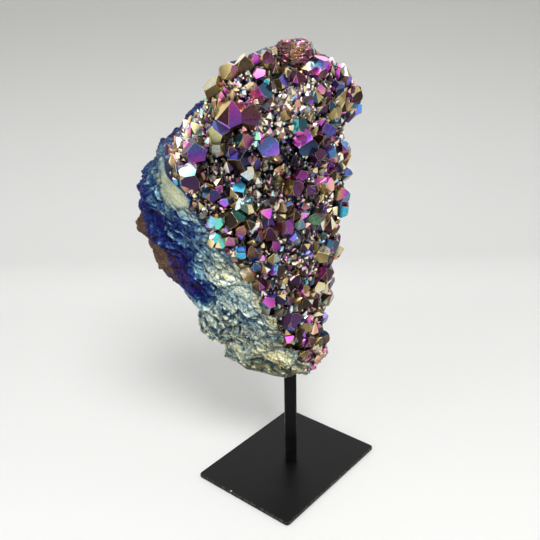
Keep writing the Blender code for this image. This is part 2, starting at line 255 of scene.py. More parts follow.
def auraRockMaterial():
    made = auraRock
    material, tree, shader = newMaterial("titanium_coated_rock")
    place = addNode(tree, "TexCoord").outputs["Object"]
    film, glow, bare, dark, calm = (
        addNode(tree, "Attribute", {"attribute_name": key}).outputs["Fac"]
        for key in ("film", "glow", "bare", "dark", "calm")
    )
    strata = addNode(
        tree, "Mapping",
        {"vector_type": "TEXTURE", "Rotation": (0, math.radians(made["fall"]), math.radians(stoneTurn)),
         "Scale": (made["drawnOut"], 1.0, 1.0)},
        {"Vector": place},
    ).outputs["Vector"]

    def foldLines(size):
        # thin curved lines where a noise passes its middle value
        noise = addNode(
            tree, "TexNoise", {"Scale": 1 / (size * mm), "Detail": 2.0, "Distortion": 0.9}, {"Vector": strata}
        ).outputs["Fac"]
        off = addNode(tree, "Math", {"operation": "SUBTRACT", 1: 0.5}, {0: noise}).outputs[0]
        far = addNode(tree, "Math", {"operation": "ABSOLUTE"}, {0: off}).outputs[0]
        return addNode(
            tree, "MapRange", {"From Max": made["lineWidth"], "To Min": 1.0, "To Max": 0.0}, {"Value": far}
        ).outputs[0]

    deepLine, fineLine = foldLines(made["crumple"]), foldLines(made["fold"])
    flake = addNode(
        tree, "TexVoronoi", {"Scale": 1 / (made["flake"] * mm), "feature": "F1"}, {"Vector": strata}
    )
    grain = addNode(
        tree, "TexNoise", {"Scale": 1 / (made["grain"] * mm), "Detail": 2.0}, {"Vector": place}
    ).outputs["Fac"]
    # a flake's random colour serves as its own random numbers
    own = addNode(tree, "SeparateColor", {}, {"Color": flake.outputs["Color"]})
    wander = addNode(
        tree, "Math", {"operation": "MULTIPLY_ADD", 1: made["filmWander"], 2: -made["filmWander"] / 2},
        {0: own.outputs[0]},
    ).outputs[0]
    thick = addNode(tree, "Math", {"operation": "ADD"}, {0: film, 1: wander}).outputs[0]
    # about one flake in four gets a painted highlight, but none on the smooth swelling
    starts, full = made["standOut"]
    standsOut = addNode(
        tree, "MapRange", {"From Min": starts, "From Max": full}, {"Value": own.outputs[1]}
    ).outputs[0]
    flaky = addNode(tree, "MapRange", {"To Min": 1.0, "To Max": 0.0}, {"Value": calm}).outputs[0]
    patchy = addNode(tree, "Math", {"operation": "MULTIPLY"}, {0: standsOut, 1: flaky}).outputs[0]
    uneven = addNode(
        tree, "Math", {"operation": "MULTIPLY_ADD", 1: made["grainShare"]}, {0: grain, 2: patchy}
    ).outputs[0]
    factor, offset = made["sparkle"]
    sparkle = addNode(
        tree, "Math", {"operation": "MULTIPLY_ADD", 1: factor, 2: offset}, {0: uneven}
    ).outputs[0]
    bright = addNode(
        tree, "Math", {"operation": "ADD", "use_clamp": True}, {0: glow, 1: sparkle}
    ).outputs[0]
    coat = filmColour(tree, thick, bright, rockInShade, rockInLight)
    stone = addNode(tree, "ValToRGB", {"ramp": bareStone}, {"Fac": grain}).outputs["Color"]
    mixed = addNode(tree, "MixRGB", {}, {"Fac": bare, "Color1": coat, "Color2": stone}).outputs["Color"]
    # painted shade: the fold lines' creases and the rock's painted shade, both towards the lines' navy
    lines = addNode(tree, "Math", {"operation": "MAXIMUM"}, {0: deepLine, 1: fineLine}).outputs[0]
    clear = addNode(
        tree, "MapRange", {"To Min": made["foldShadeStrength"], "To Max": 0.0}, {"Value": calm}
    ).outputs[0]
    drawn = addNode(tree, "Math", {"operation": "MULTIPLY"}, {0: lines, 1: clear}).outputs[0]
    deep = addNode(tree, "Math", {"operation": "MAXIMUM"}, {0: dark, 1: drawn}).outputs[0]
    colour = addNode(
        tree, "MixRGB", {"Color2": hexColour(made["foldShadeColour"])}, {"Fac": deep, "Color1": mixed}
    ).outputs["Color"]
    metal = addNode(
        tree, "MapRange", {"To Min": made["metallic"], "To Max": 0.0}, {"Value": bare}
    ).outputs[0]
    rough = addNode(
        tree, "MapRange", {"To Min": made["coatRough"], "To Max": made["bareRough"]}, {"Value": bare}
    ).outputs[0]
    # the smooth swelling is frosted
    frosted = addNode(
        tree, "Math", {"operation": "MULTIPLY_ADD", 1: made["swellRougher"]}, {0: calm, 2: rough}
    ).outputs[0]
    facets = addNode(
        tree, "Math", {"operation": "MULTIPLY_ADD", 1: made["bumpGrain"]},
        {0: grain, 2: flake.outputs["Distance"]},
    ).outputs[0]
    height = addNode(tree, "Math", {"operation": "SUBTRACT"}, {0: facets, 1: drawn}).outputs[0]
    bump = addNode(
        tree, "Bump", {"Strength": made["bump"], "Distance": made["bumpDepth"] * mm}, {"Height": height}
    )
    tree.links.new(colour, shader.inputs["Base Color"])
    tree.links.new(metal, shader.inputs["Metallic"])
    tree.links.new(frosted, shader.inputs["Roughness"])
    tree.links.new(bump.outputs["Normal"], shader.inputs["Normal"])
    return material


# Black satin paint sprayed on mild steel: a soft even sheen, faint orange peel, worn grey at the edges,
# partly a painted highlight where the edges catch the light.
blackPaint = {
    "peel": 0.9, "cloud": 18.0, "wear": 1.6, "bump": 0.05, "bumpDepth": 0.2, "sheen": 0.10,
    "roughness": (0.36, 0.50), "paint": [(0.3, "#080809"), (0.7, "#0F0F10")], "steel": "#5A564E",
    # each bar's middle, turn, half sides, and the share of a half side past which its edges get the worn grey
    # and painted highlight
    "base_plate": ((0.0, 0.0), 0.0, (58.0, 45.0), 0.982),
    "post": (postOffCentre, stoneTurn, (4.75, 4.75), 0.86),
    # over how much of a half side the worn grey and painted highlight set in, how patchy they are, and how
    # far they go
    "edgeFade": 0.012, "wearNoise": (0.42, 0.72), "mostWear": 0.8,
    # one chip in the plate's paint: its middle, its radius and how much of that is fully bare, its colour
    "chip": (-57.3, 10.8, 3.0), "chipSize": 0.9, "chipBare": 0.6, "chipColour": "#C8C6C0",
}


def blackPaintMaterial(node):
    made = blackPaint
    material, tree, shader = newMaterial("black_satin_paint_" + node)
    place = addNode(tree, "TexCoord").outputs["Object"]
    peel, cloud, wear = (
        addNode(
            tree, "TexNoise", {"Scale": 1 / (made[key] * mm), "Detail": detail}, {"Vector": place}
        ).outputs["Fac"]
        for key, detail in (("peel", 2.0), ("cloud", 4.0), ("wear", 3.0))
    )
    paint = addNode(tree, "ValToRGB", {"ramp": made["paint"]}, {"Fac": cloud}).outputs["Color"]
    (middleX, middleY), turn, (halfX, halfY), edge = made[node]
    across = addNode(
        tree, "Mapping",
        {"vector_type": "TEXTURE", "Location": (middleX * mm, middleY * mm, 0),
         "Rotation": (0, 0, math.radians(turn)), "Scale": (halfX * mm, halfY * mm, 1)},
        {"Vector": place},
    ).outputs["Vector"]
    apart = addNode(tree, "VectorMath", {"operation": "ABSOLUTE"}, {0: across}).outputs["Vector"]
    sides = addNode(tree, "SeparateXYZ", {}, {"Vector": apart})
    # the worn grey and painted highlight run along the plate's rim and along the upright post's four corners
    rim = addNode(
        tree, "Math", {"operation": "MAXIMUM" if node == "base_plate" else "MINIMUM"},
        {0: sides.outputs["X"], 1: sides.outputs["Y"]},
    ).outputs[0]
    atEdge = addNode(
        tree, "MapRange", {"From Min": edge, "From Max": edge + made["edgeFade"]}, {"Value": rim}
    ).outputs[0]
    unworn, wornMost = made["wearNoise"]
    worn = addNode(
        tree, "MapRange", {"From Min": unworn, "From Max": wornMost, "To Max": made["mostWear"]},
        {"Value": wear},
    ).outputs[0]
    wornAndLitEdge = addNode(tree, "Math", {"operation": "MULTIPLY"}, {0: atEdge, 1: worn}).outputs[0]
    colour = addNode(
        tree, "MixRGB", {"Color2": hexColour(made["steel"])}, {"Fac": wornAndLitEdge, "Color1": paint}
    ).outputs["Color"]
    if node == "base_plate":
        far = addNode(
            tree, "VectorMath", {"operation": "DISTANCE", 1: np.array(made["chip"]) * mm}, {0: place}
        ).outputs["Value"]
        inner, outer = made["chipBare"] * made["chipSize"] * mm, made["chipSize"] * mm
        chipped = addNode(
            tree, "MapRange", {"From Min": inner, "From Max": outer, "To Min": 1.0, "To Max": 0.0},
            {"Value": far},
        ).outputs[0]
        colour = addNode(
            tree, "MixRGB", {"Color2": hexColour(made["chipColour"])}, {"Fac": chipped, "Color1": colour}
        ).outputs["Color"]
    shiniest, dullest = made["roughness"]
    rough = addNode(tree, "MapRange", {"To Min": shiniest, "To Max": dullest}, {"Value": cloud}).outputs[0]
    bump = addNode(
        tree, "Bump", {"Strength": made["bump"], "Distance": made["bumpDepth"] * mm}, {"Height": peel}
    )
    tree.links.new(colour, shader.inputs["Base Color"])
    tree.links.new(rough, shader.inputs["Roughness"])
    tree.links.new(bump.outputs["Normal"], shader.inputs["Normal"])
    shader.inputs["Specular IOR Level"].default_value = made["sheen"]
    return material


# Level sections: height, the edge where the crystals stop (x, y), the right side (x, y),
# the left side (x, y) and the y of the back.
sections = (
    (84, -8, -6, 6, 2, -22, 4, 14),
    (88, -2, -14, 12, -4, -33, 0, 19),
    (95, 6, -21, 16, -9, -43, -3, 23),
    (104, 11, -25, 22, -10, -48, -4, 26),
    (112, 11, -28, 26, -11, -51, -3, 28),
    (120, 6, -30, 24, -12, -59, -1, 29),
    (130, 0, -33, 22, -12, -65, 1, 29),
    (140, -6, -36, 23, -12, -67, 2, 29),
    (150, -11, -38, 26, -12, -73, 2, 29),
    (160, -17, -40, 28, -11, -80, 3, 29),
    (170, -21, -42, 27, -12, -86, 3, 29),
    (180, -25, -43, 29, -11, -93, 4, 29),
    (190, -31, -45, 33, -10, -99, 4, 29),
    (200, -40, -47, 33, -10, -104, 4, 28),
    (212, -48, -49, 35, -10, -105, 4, 27),
    (224, -56, -51, 36, -9, -106, 4, 26),
    (236, -63, -53, 36, -9, -103, 4, 24),
    (246, -61, -53, 37, -9, -99, 4, 22),
    (256, -66, -54, 38, -9, -91, 4, 20),
    (266, -65, -52, 37, -8, -83, 4, 18),
    (276, -61, -49, 36, -7, -73, 2, 16),
    (286, -54, -46, 44, -6, -61, 0, 14),
    (296, -47, -42, 47, -6, -51, -2, 12),
    (306, -41, -39, 40, -8, -44, -4, 9),
    (314, -34, -36, 32, -10, -37, -6, 5),
    (321, -22, -32, 21, -12, -26, -8, 0),
    (327, -10, -28, 11, -14, -14, -12, -6),
)
ringCount = 10
stoneShape = {"faceBulge": 0.09, "rimBulge": 0.10}


def ringPoints(row):
    # Ten points round one level section, from the crystals' edge along the face to the right and back
    # behind the stone. Between the given corners they lie at shares of the face, the width and the depth.
    edgeX, edgeY, rightX, rightY, leftX, leftY, back = row[1:]
    edge = np.array((edgeX, edgeY), float)
    right = np.array((rightX, rightY), float)
    left = np.array((leftX, leftY), float)
    width = rightX - leftX
    face = right - edge
    faceOut = np.array((face[1], -face[0])) * stoneShape["faceBulge"]
    rim = edge - left
    rimOut = np.array((rim[1], -rim[0])) * stoneShape["rimBulge"]
    return np.array((
        edge,
        edge + 0.33 * face + faceOut,
        edge + 0.70 * face + faceOut,
        right,
        (rightX - 0.10 * width, 0.35 * rightY + 0.65 * back),
        (rightX - 0.32 * width, back),
        (rightX - 0.58 * width, 1.02 * back),
        (leftX + 0.16 * width, 0.86 * back + 0.14 * leftY),
        left,
        (edge + left) / 2 + rimOut,
    ))


def hermite(before, after, slopeBefore, slopeAfter, part):
    # cubic between two values with their slopes
    return (
        (2 * part**3 - 3 * part**2 + 1) * before
        + (part**3 - 2 * part**2 + part) * slopeBefore
        + (3 * part**2 - 2 * part**3) * after
        + (part**3 - part**2) * slopeAfter
    )


def skinGrid(heights, places):
    # skin(height, place): cubic through the sections upwards, then cubic round each section
    rows = np.array(sections, float)
    knots = rows[:, 0]
    rings = np.array([ringPoints(row) for row in rows])
    index = np.clip(np.searchsorted(knots, heights, side="right") - 1, 0, len(knots) - 2)
    step = (knots[index + 1] - knots[index])[:, None, None]
    part = (heights - knots[index])[:, None, None] / step
    slopes = np.gradient(rings.reshape(len(knots), -1), knots, axis=0).reshape(rings.shape)
    shape = hermite(rings[index], rings[index + 1], slopes[index] * step, slopes[index + 1] * step, part)
    low = np.floor(places).astype(int)
    a, b, c, d = (shape[:, (low + shift) % ringCount] for shift in (-1, 0, 1, 2))
    flat = hermite(b, c, (c - a) / 2, (d - b) / 2, (places - low)[None, :, None])
    upright = np.broadcast_to(heights[:, None, None], flat.shape[:2] + (1,))
    return np.concatenate((flat, upright), axis=2)


def unit(vectors):
    # each vector divided by its length
    return vectors / np.maximum(np.linalg.norm(vectors, axis=2, keepdims=True), 1e-9)


def outward(grid):
    # unit vectors out of the closed skin: across one way times up the other
    along = np.roll(grid, -1, axis=1) - np.roll(grid, 1, axis=1)
    return unit(np.cross(along, np.gradient(grid, axis=0)))


def rise(value, start, over):
    # 0 up to the start, then evenly up to 1
    return np.clip((value - start) / over, 0, 1)


def softPatch(x, z, midX, midZ, wide, tall):
    # 1 in a rounded patch and 0 outside it: exp(-(across / wide)^4 - (up / tall)^4)
    return np.exp(-((x - midX) / wide) ** 4 - ((z - midZ) / tall) ** 4)


def scatter(cells):
    # a fixed number from -1 to 1 for each whole-number cell
    mixed = np.sin(cells @ np.array((12.9898, 78.233, 37.719))) * 43758.5453
    return 2 * (mixed - np.floor(mixed)) - 1


def valueNoise(points, size):
    # Smooth noise from -1 to 1 whose lumps are about this size: the eight corners of a cell, blended.
    # A number added to the points sets one noise apart from another.
    cells = np.floor(points / size)
    part = points / size - cells
    part = part * part * (3 - 2 * part)
    total = 0.0
    for corner in np.ndindex(2, 2, 2):
        weight = np.prod(np.where(corner, part, 1 - part), axis=-1)
        total = total + weight * scatter(cells + corner)
    return total


def warped(points, size, much, shifts):
    # each point moved a little by smooth noise
    return points + much * np.stack([valueNoise(points + shift, size) for shift in shifts], axis=-1)


def plates(points, size):
    # broken flakes: each point belongs to the nearest of the seeds, one to a cell. Gives the gap to the
    # next seed's flake, the flake's own slope at the point, and a fixed number from -1 to 1 per flake.
    cells = np.floor(points / size)
    near = np.full(points.shape[:-1], 9.0)
    second = near.copy()
    lean = np.zeros_like(near)
    mark = np.zeros_like(near)
    for step in np.ndindex(3, 3, 3):
        cell = cells + np.array(step) - 1
        own = np.stack([scatter(cell + shift) for shift in (0.0, 17.0, 31.0)], axis=-1)
        gap = points / size - (cell + 0.5 + 0.42 * own)
        away = np.linalg.norm(gap, axis=-1)
        closer = away < near
        second = np.where(closer, near, np.minimum(second, away))
        near = np.where(closer, away, near)
        lean = np.where(closer, (gap * own[..., [1, 2, 0]]).sum(axis=-1), lean)
        mark = np.where(closer, own[..., 2], mark)
    return second - near, lean, mark


rockShape = {
    "ledgeSpacing": 30.0, "ledgeDepth": 4.6, "ledgeFall": 0.5, "ledgeBend": 8.0, "ledgeSteep": 0.25,
    "lumpSize": 26.0, "lumpDepth": 5.5, "chipSize": 14.0, "chipDepth": 4.0,
    # flakes: size, depth, weight in the colour; then the width of the lines between them, and how far a
    # flake leans, stands out as a whole and is cut by a line, in depths
    "flakes": ((11.0, 1.8, 0.6), (5.2, 1.3, 0.85), (2.6, 0.65, 0.5)), "lineWidth": 0.055,
    "flakeLean": 0.9, "flakeStep": 0.5, "flakeLine": 0.9,
    "strataFall": 28.0, "drawnOut": 2.3, "warp": 3.5, "warpSize": 8.0,
    # levels up the stone, and points round it: from place to place, how many
    "levels": 330, "around": ((0.0, 3.0, 30), (3.0, 7.6, 86), (7.6, 10.0, 184)),
    # the bed under the crystals lies lower; relief sets in over this many places past their edge, and
    # dies out over this many levels at the two ends
    "bedLift": -2.4, "bedFade": 0.3, "reliefFade": 0.9, "endLevels": 12,
    # flakes begin that much earlier than other relief; the swelling's height, and how much of the flakes
    # and of their lines it smooths away
    "flakesEarly": 0.15, "swellLift": 2.0, "swellSmooth": 0.85, "swellClean": 0.9,
    # shelves of rock: places, their heights, how far each juts out over the hollow below it
    "shelves": (
        ((8.1, 8.5, 8.85, 9.4, 9.75, 10.0), (167, 168, 173, 179, 180, 176), 2.6),
        ((8.5, 8.95, 9.3, 9.6, 9.85), (127, 140, 145, 141, 137), 2.0),
        ((8.2, 8.55, 9.05, 9.4, 9.9), (122, 119, 124, 121, 126), 2.4),
    ),
    # how far a shelf reaches up and its hollow down, the hollow's depth in juts, over how many places the
    # ends fade, how wavy the lip is (height, length) and how far below it the line of painted shade runs
    "shelfTop": 9.0, "shelfHollow": 5.0, "hollowDepth": 0.7, "shelfEnd": 0.15, "wave": (1.8, 6.0),
    "lineBelow": 0.6,
}


def rockRelief(points):
    # ledges with a steep lower side, softer lumps and chips
    made = rockShape
    bend = made["ledgeBend"] * valueNoise(points, 2 * made["lumpSize"])
    climb = (points[..., 2] + made["ledgeFall"] * points[..., 0] + bend) / made["ledgeSpacing"]
    part = climb - np.floor(climb)
    ledge = np.minimum(part / made["ledgeSteep"], (1 - part) / (1 - made["ledgeSteep"])) - 0.5
    lump = valueNoise(points + 40.0, made["lumpSize"])
    chip = valueNoise(points + 90.0, made["chipSize"])
    return made["ledgeDepth"] * ledge + made["lumpDepth"] * lump + made["chipDepth"] * chip


def rockShelves(grid, heights, places):
    # out at the lip, fading upwards, and in below it; the second result is the line of painted shade under
    # the lip
    made = rockShape
    relief, line = np.zeros(grid.shape[:2]), np.zeros(grid.shape[:2])
    waveHeight, waveLength = made["wave"]
    wavy = waveHeight * valueNoise(grid + 71.0, waveLength)
    for lipPlaces, lipHeights, jut in made["shelves"]:
        begun = rise(places, lipPlaces[0], made["shelfEnd"])
        within = begun * (1 - rise(places, lipPlaces[-1], made["shelfEnd"]))
        over = heights[:, None] - np.interp(places, lipPlaces, lipHeights)[None, :] + wavy
        lip = np.exp(-(over / made["shelfTop"]) ** 2)
        hollow = -made["hollowDepth"] * np.exp(-(over / made["shelfHollow"]) ** 2)
        relief += jut * within * np.where(over > 0, lip, hollow)
        line = np.maximum(line, within * np.exp(-(over + made["lineBelow"]) ** 2))
    return relief, line


def rockFlakes(grid):
    # Flakes lie along the strata, which fall to the right, so their cells are drawn out that way. Gives
    # the points in the strata's axes, the relief, the lines between flakes that get painted shade, and a tone
    # per flake.
    made = rockShape
    bent = warped(grid, made["warpSize"], made["warp"], (11.0, 23.0, 37.0))
    fall = math.radians(made["strataFall"])
    along = bent[..., 0] * math.cos(fall) - bent[..., 2] * math.sin(fall)
    over = bent[..., 0] * math.sin(fall) + bent[..., 2] * math.cos(fall)
    laid = np.stack((along / made["drawnOut"], bent[..., 1], over), axis=-1)
    relief, crevice, tone = (np.zeros(grid.shape[:2]) for layer in range(3))
    for size, depth, weight in made["flakes"]:
        gap, lean, mark = plates(laid + 7 * size, size)
        line = np.exp(-(gap / made["lineWidth"]) ** 2)
        crevice = np.maximum(crevice, line * weight)
        relief += depth * (made["flakeLean"] * lean + made["flakeStep"] * mark - made["flakeLine"] * line)
        tone += weight * mark
    return laid, relief, crevice, tone


# Crystals cover the sections between these places: from "first" by height, round to "last".
# High on the left they run round to the back, and at the bottom the rock is bare.
crystalEdge = {
    "heights": (84, 92, 106, 116, 240, 262, 275, 305, 327),
    "first": (3.0, 1.9, 0.5, 0.0, 0.0, -0.8, -1.35, -1.4, -1.5),
    "last": 3.0,
    # how far inside the skin the crystals' feet are, and how much more where they run round to the back
    "sunk": 2.0, "sunkRound": 2.4,
}


def firstPlace(heights):
    # the place where crystals begin, in a straight line between the given heights
    return np.interp(heights, crystalEdge["heights"], crystalEdge["first"])[:, None]


def pastEdge(heights, places):
    # How far a place lies outside the crystals, negative among them. Places past the middle of the back
    # count down from the edge.
    around = np.where(places > 6.5, places - ringCount, places)[None, :]
    return np.maximum(firstPlace(heights) - around, around - crystalEdge["last"])


# Film and glow on the rock by height: at the crystals' edge, and out at the left rim. The glow paints light
# and shade into the coat's colour.
rockFilm = {
    "heights": (84, 98, 112, 128, 142, 152, 162, 175, 187, 200, 213, 225, 238, 250, 262, 280, 327),
    "edgeFilm": (0.61, 0.62, 0.61, 0.60, 0.60, 0.60, 0.59, 0.55, 0.60, 0.49, 0.42, 0.46, 0.54, 0.54, 0.52,
                 0.50, 0.48),
    "rimFilm": (0.59, 0.58, 0.55, 0.51, 0.47, 0.42, 0.29, 0.26, 0.25, 0.25, 0.25, 0.24, 0.28, 0.42, 0.34,
                0.30, 0.30),
    "edgeGlow": (-0.1, 0.25, 1.3, 0.7, 0.85, 1.05, 1.7, 1.35, 1.0, 0.85, 0.35, 0.4, 0.45, 0.5, 0.45, 0.4,
                 0.4),
    "rimGlow": (-0.2, 0.05, 0.75, 0.25, 0.3, 0.3, -0.2, -0.4, -0.3, -0.2, -0.4, -0.44, -0.45, 0.05, -0.1,
                -0.2, -0.2),
    # how dark the rim is: in shade behind the crystals near the top
    "rimShade": (0, 0, 0, 0, 0, 0, 0.1, 0.2, 0.1, 0.05, 0.1, 0.15, 0.25, 0.3, 0.65, 0.75, 0.75),
    # how soon the rim's colours are reached, and how suddenly
    "reach": (1.15, 1.15, 1.15, 1.15, 1.15, 1.15, 1.3, 1.7, 1.8, 1.5, 1.15, 1.15, 1.5, 1.3, 1.15, 1.15,
              1.15),
    "sudden": (0.8, 0.8, 0.8, 0.8, 0.8, 0.8, 1.1, 1.9, 2.1, 1.5, 0.8, 0.8, 1.2, 1.0, 0.8, 0.8, 0.8),
    # how much the film strays by patches, streaks and flakes, and the glow by flakes, streaks and in
    # crevices, where it paints shade; the least and the most of each; how much thinner the film is in a
    # crevice, and how dark its painted shade is
    "filmStray": (0.03, 0.03, 0.02), "glowStray": (0.32, 0.18, -0.6),
    "filmRange": (0.16, 0.62), "glowRange": (-0.4, 1.3), "crevice": 0.15, "creviceShade": 0.8,
    # a smooth pale swelling beside the crystals' edge: middle x and z, half sizes; film and glow with
    # what the streaks add to them
    "swell": (-73.0, 248.0, 11.0, 15.0), "swellFilm": (0.55, 0.015), "swellGlow": (0.52, 0.2),
    # Below, a pair of numbers for "away", "places", "past" or "heights" says where a look sets in, and
    # over how much it grows. The coat misses a strip of brown rock on the rim, whose edge goes by height.
    "stripZ": 194.0, "stripTall": 22.0, "stripEdge": ((175, 215), (0.74, 0.84)), "stripFade": 0.06,
    "stripFull": 1.4,
    # it turns red and violet below the strip
    "burnZ": 168.0, "burnTall": 9.0, "burnAway": (0.5, 0.15), "burnFilm": 0.165,
    # most of the back is bare, with a patchy edge
    "backAway": (1.25, 0.25), "backPlaces": (3.4, 0.4), "backPatchy": 0.12,
    # between the crystals the bed is painted nearly black, as shade
    "bedPast": (-0.04, 0.10), "bedHeights": (96.0, 5.0), "bedFilm": (0.10, 0.05), "bedShade": 0.85,
}


def rockSwell(grid):
    # the smooth swelling: 1 on it, 0 elsewhere, and none on the back
    return softPatch(grid[..., 0], grid[..., 2], *rockFilm["swell"]) * (grid[..., 1] < 0)


def rockCoating(grid, heights, places, laid, crevice, tone, swell):
    # film, glow, bare stone and painted shade, by height and by how far it is from the crystals' edge to the
    # left rim (1) and on round the back (to 3)
    made = rockFilm
    edgeFilm, rimFilm, edgeGlow, rimGlow, rimShade, reach, sudden = (
        np.interp(heights, made["heights"], made[key])[:, None]
        for key in ("edgeFilm", "rimFilm", "edgeGlow", "rimGlow", "rimShade", "reach", "sudden")
    )
    z = heights[:, None]
    away = np.clip((ringCount - places) / 2.0, 0.0, 3.0)[None, :]
    mix = np.clip(away * reach, 0, 1) ** sudden
    patch = valueNoise(grid + 13.0, 17.0)
    streak = valueNoise(laid + 51.0, 6.0)
    byPatch, byStreak, byFlake = made["filmStray"]
    film = edgeFilm * (1 - mix) + rimFilm * mix + byPatch * patch + byStreak * streak + byFlake * tone
    film = np.clip(film - made["crevice"] * crevice, *made["filmRange"])
    byFlake, byStreak, inCrevice = made["glowStray"]
    glow = edgeGlow * (1 - mix) + rimGlow * mix + byFlake * tone + byStreak * streak + inCrevice * crevice
    glow = np.clip(glow, *made["glowRange"])
    swellFilm, swellGlow = (plain + added * streak for plain, added in (made["swellFilm"], made["swellGlow"]))
    film = film + (swellFilm - film) * swell
    glow = glow + (swellGlow - glow) * swell
    burn = np.exp(-((z - made["burnZ"]) / made["burnTall"]) ** 2) * rise(away, *made["burnAway"])
    film = film + (made["burnFilm"] - film) * burn
    onRim = rise(away, np.interp(heights, *made["stripEdge"])[:, None], made["stripFade"])
    strip = made["stripFull"] * np.exp(-((z - made["stripZ"]) / made["stripTall"]) ** 4) * onRim
    back = rise(away + made["backPatchy"] * patch, *made["backAway"]) * rise(places, *made["backPlaces"])
    bare = np.clip(np.maximum(strip, back), 0, 1)
    bed = (1 - rise(pastEdge(heights, places), *made["bedPast"])) * rise(z, *made["bedHeights"])
    bedFilm, byFlake = made["bedFilm"]
    film = film + (bedFilm + byFlake * tone - film) * bed
    glow = glow * (1 - bed)
    # painted shade in the crevices, on the rim in shade behind the crystals, and on the bed between them
    dark = np.maximum(made["creviceShade"] * crevice, rimShade * mix) * (1 - bare) + made["bedShade"] * bed
    return {"film": film, "glow": glow, "bare": bare, "dark": np.clip(dark, 0, 1), "calm": swell}


def rockPiece(material):
    # the skin of the sections, moved outwards by the reliefs
    made = rockShape
    places = np.concatenate([np.linspace(*stretch, endpoint=False) for stretch in made["around"]])
    heights = np.linspace(sections[0][0], sections[-1][0], made["levels"])
    grid = skinGrid(heights, places)
    out = outward(grid)
    level = np.arange(made["levels"])
    calm = rise(np.minimum(level, made["levels"] - 1 - level), 0, made["endLevels"])[:, None]
    past = pastEdge(heights, places)
    share = rise(past, 0, made["reliefFade"])
    relief = rockRelief(grid) * share * calm
    laid, flakes, crevice, tone = rockFlakes(grid)
    swell = rockSwell(grid)
    fine = flakes * np.clip(share + made["flakesEarly"], 0, 1) * calm * (1 - made["swellSmooth"] * swell)
    shelf, shelfLine = rockShelves(grid, heights, places)
    crevice = np.maximum(crevice * (1 - made["swellClean"] * swell), shelfLine)
    relief = relief + made["swellLift"] * swell + shelf * calm
    bed = made["bedLift"] * (1 - rise(past, 0, made["bedFade"])) * calm
    grid = grid + out * (relief + fine + bed)[..., None]
    looks = rockCoating(grid, heights, places, laid, crevice, tone, swell)
    # the ends close onto a middle point
    points = np.concatenate((grid.reshape(-1, 3), grid[0].mean(0)[None], grid[-1].mean(0)[None]))
    corners, sizes = closedSkin(made["levels"], len(places))
    data = {
        key: np.append(value.ravel(), (value[0].mean(), value[-1].mean())) for key, value in looks.items()
    }
    return meshPiece("rock", points, corners, sizes, material, True, pointData=data)


crystalShape = {
    # the end faces: their slope in degrees, then in radii how high they start on the sides, how far they
    # are set down from there, and how unevenly
    "endSlope": 51.8, "endsFrom": 0.12, "setDown": 0.1, "uneven": 0.06,
    # a crystal's planes by number: its sides, then its end faces, its foot, and its edges
    "sides": 6, "foot": 12, "edge": 13, "chamferDepth": 0.35,
    # the large crystals: edge width, lift off the skin, how much deeper the foot is than a radius
    "seed": 11, "edgeWidth": 0.09, "largeLift": 2.2, "largeDeeper": 2.0,
    # how far the films at the feet of their faces and the fade of the glow stray; the share of the glow on
    # small faces and on sides, and how far films run sideways
    "stray": 0.05, "fade": 0.35, "smallGlow": 0.6, "sideGlow": 0.5, "sideways": 0.5,
}


def insidePoints(normals, offsets, size):
    # every corner of a convex body is where three of its planes meet, inside all the others
    a, b, c = np.indices((len(normals),) * 3).reshape(3, -1)
    trios = np.column_stack((b, c, a))[(a < b) & (b < c)]
    systems = normals[trios]
    solvable = np.abs(np.linalg.det(systems)) > 1e-4
    found = np.linalg.solve(systems[solvable], offsets[trios[solvable]][..., None])[..., 0]
    inside = (found @ normals.T <= offsets + 1e-6 * size).all(axis=1)
    return np.unique(np.round(found[inside] / size, 5), axis=0) * size


def onPlanes(points, normals, offsets, size):
    # which points lie on which planes
    return np.abs(points @ normals.T - offsets) < 1e-3 * size


def edgePlanes(points, normals, offsets, radius, chamfer):
    # a narrow plane along each edge between two end faces: where two planes share two corners
    on = onPlanes(points, normals, offsets, radius)
    shared = on.T.astype(int) @ on.astype(int)
    first, second = np.nonzero(np.triu(shared >= 2, 1))
    ridge = (first >= crystalShape["sides"]) & (second < crystalShape["foot"])
    first, second = first[ridge], second[ridge]
    between = normals[first] + normals[second]
    between /= np.linalg.norm(between, axis=1, keepdims=True)
    edge = [points[on[:, a] & on[:, b]].mean(axis=0) for a, b in zip(first, second)]
    return between, (np.array(edge) * between).sum(axis=1) - chamfer * crystalShape["chamferDepth"]


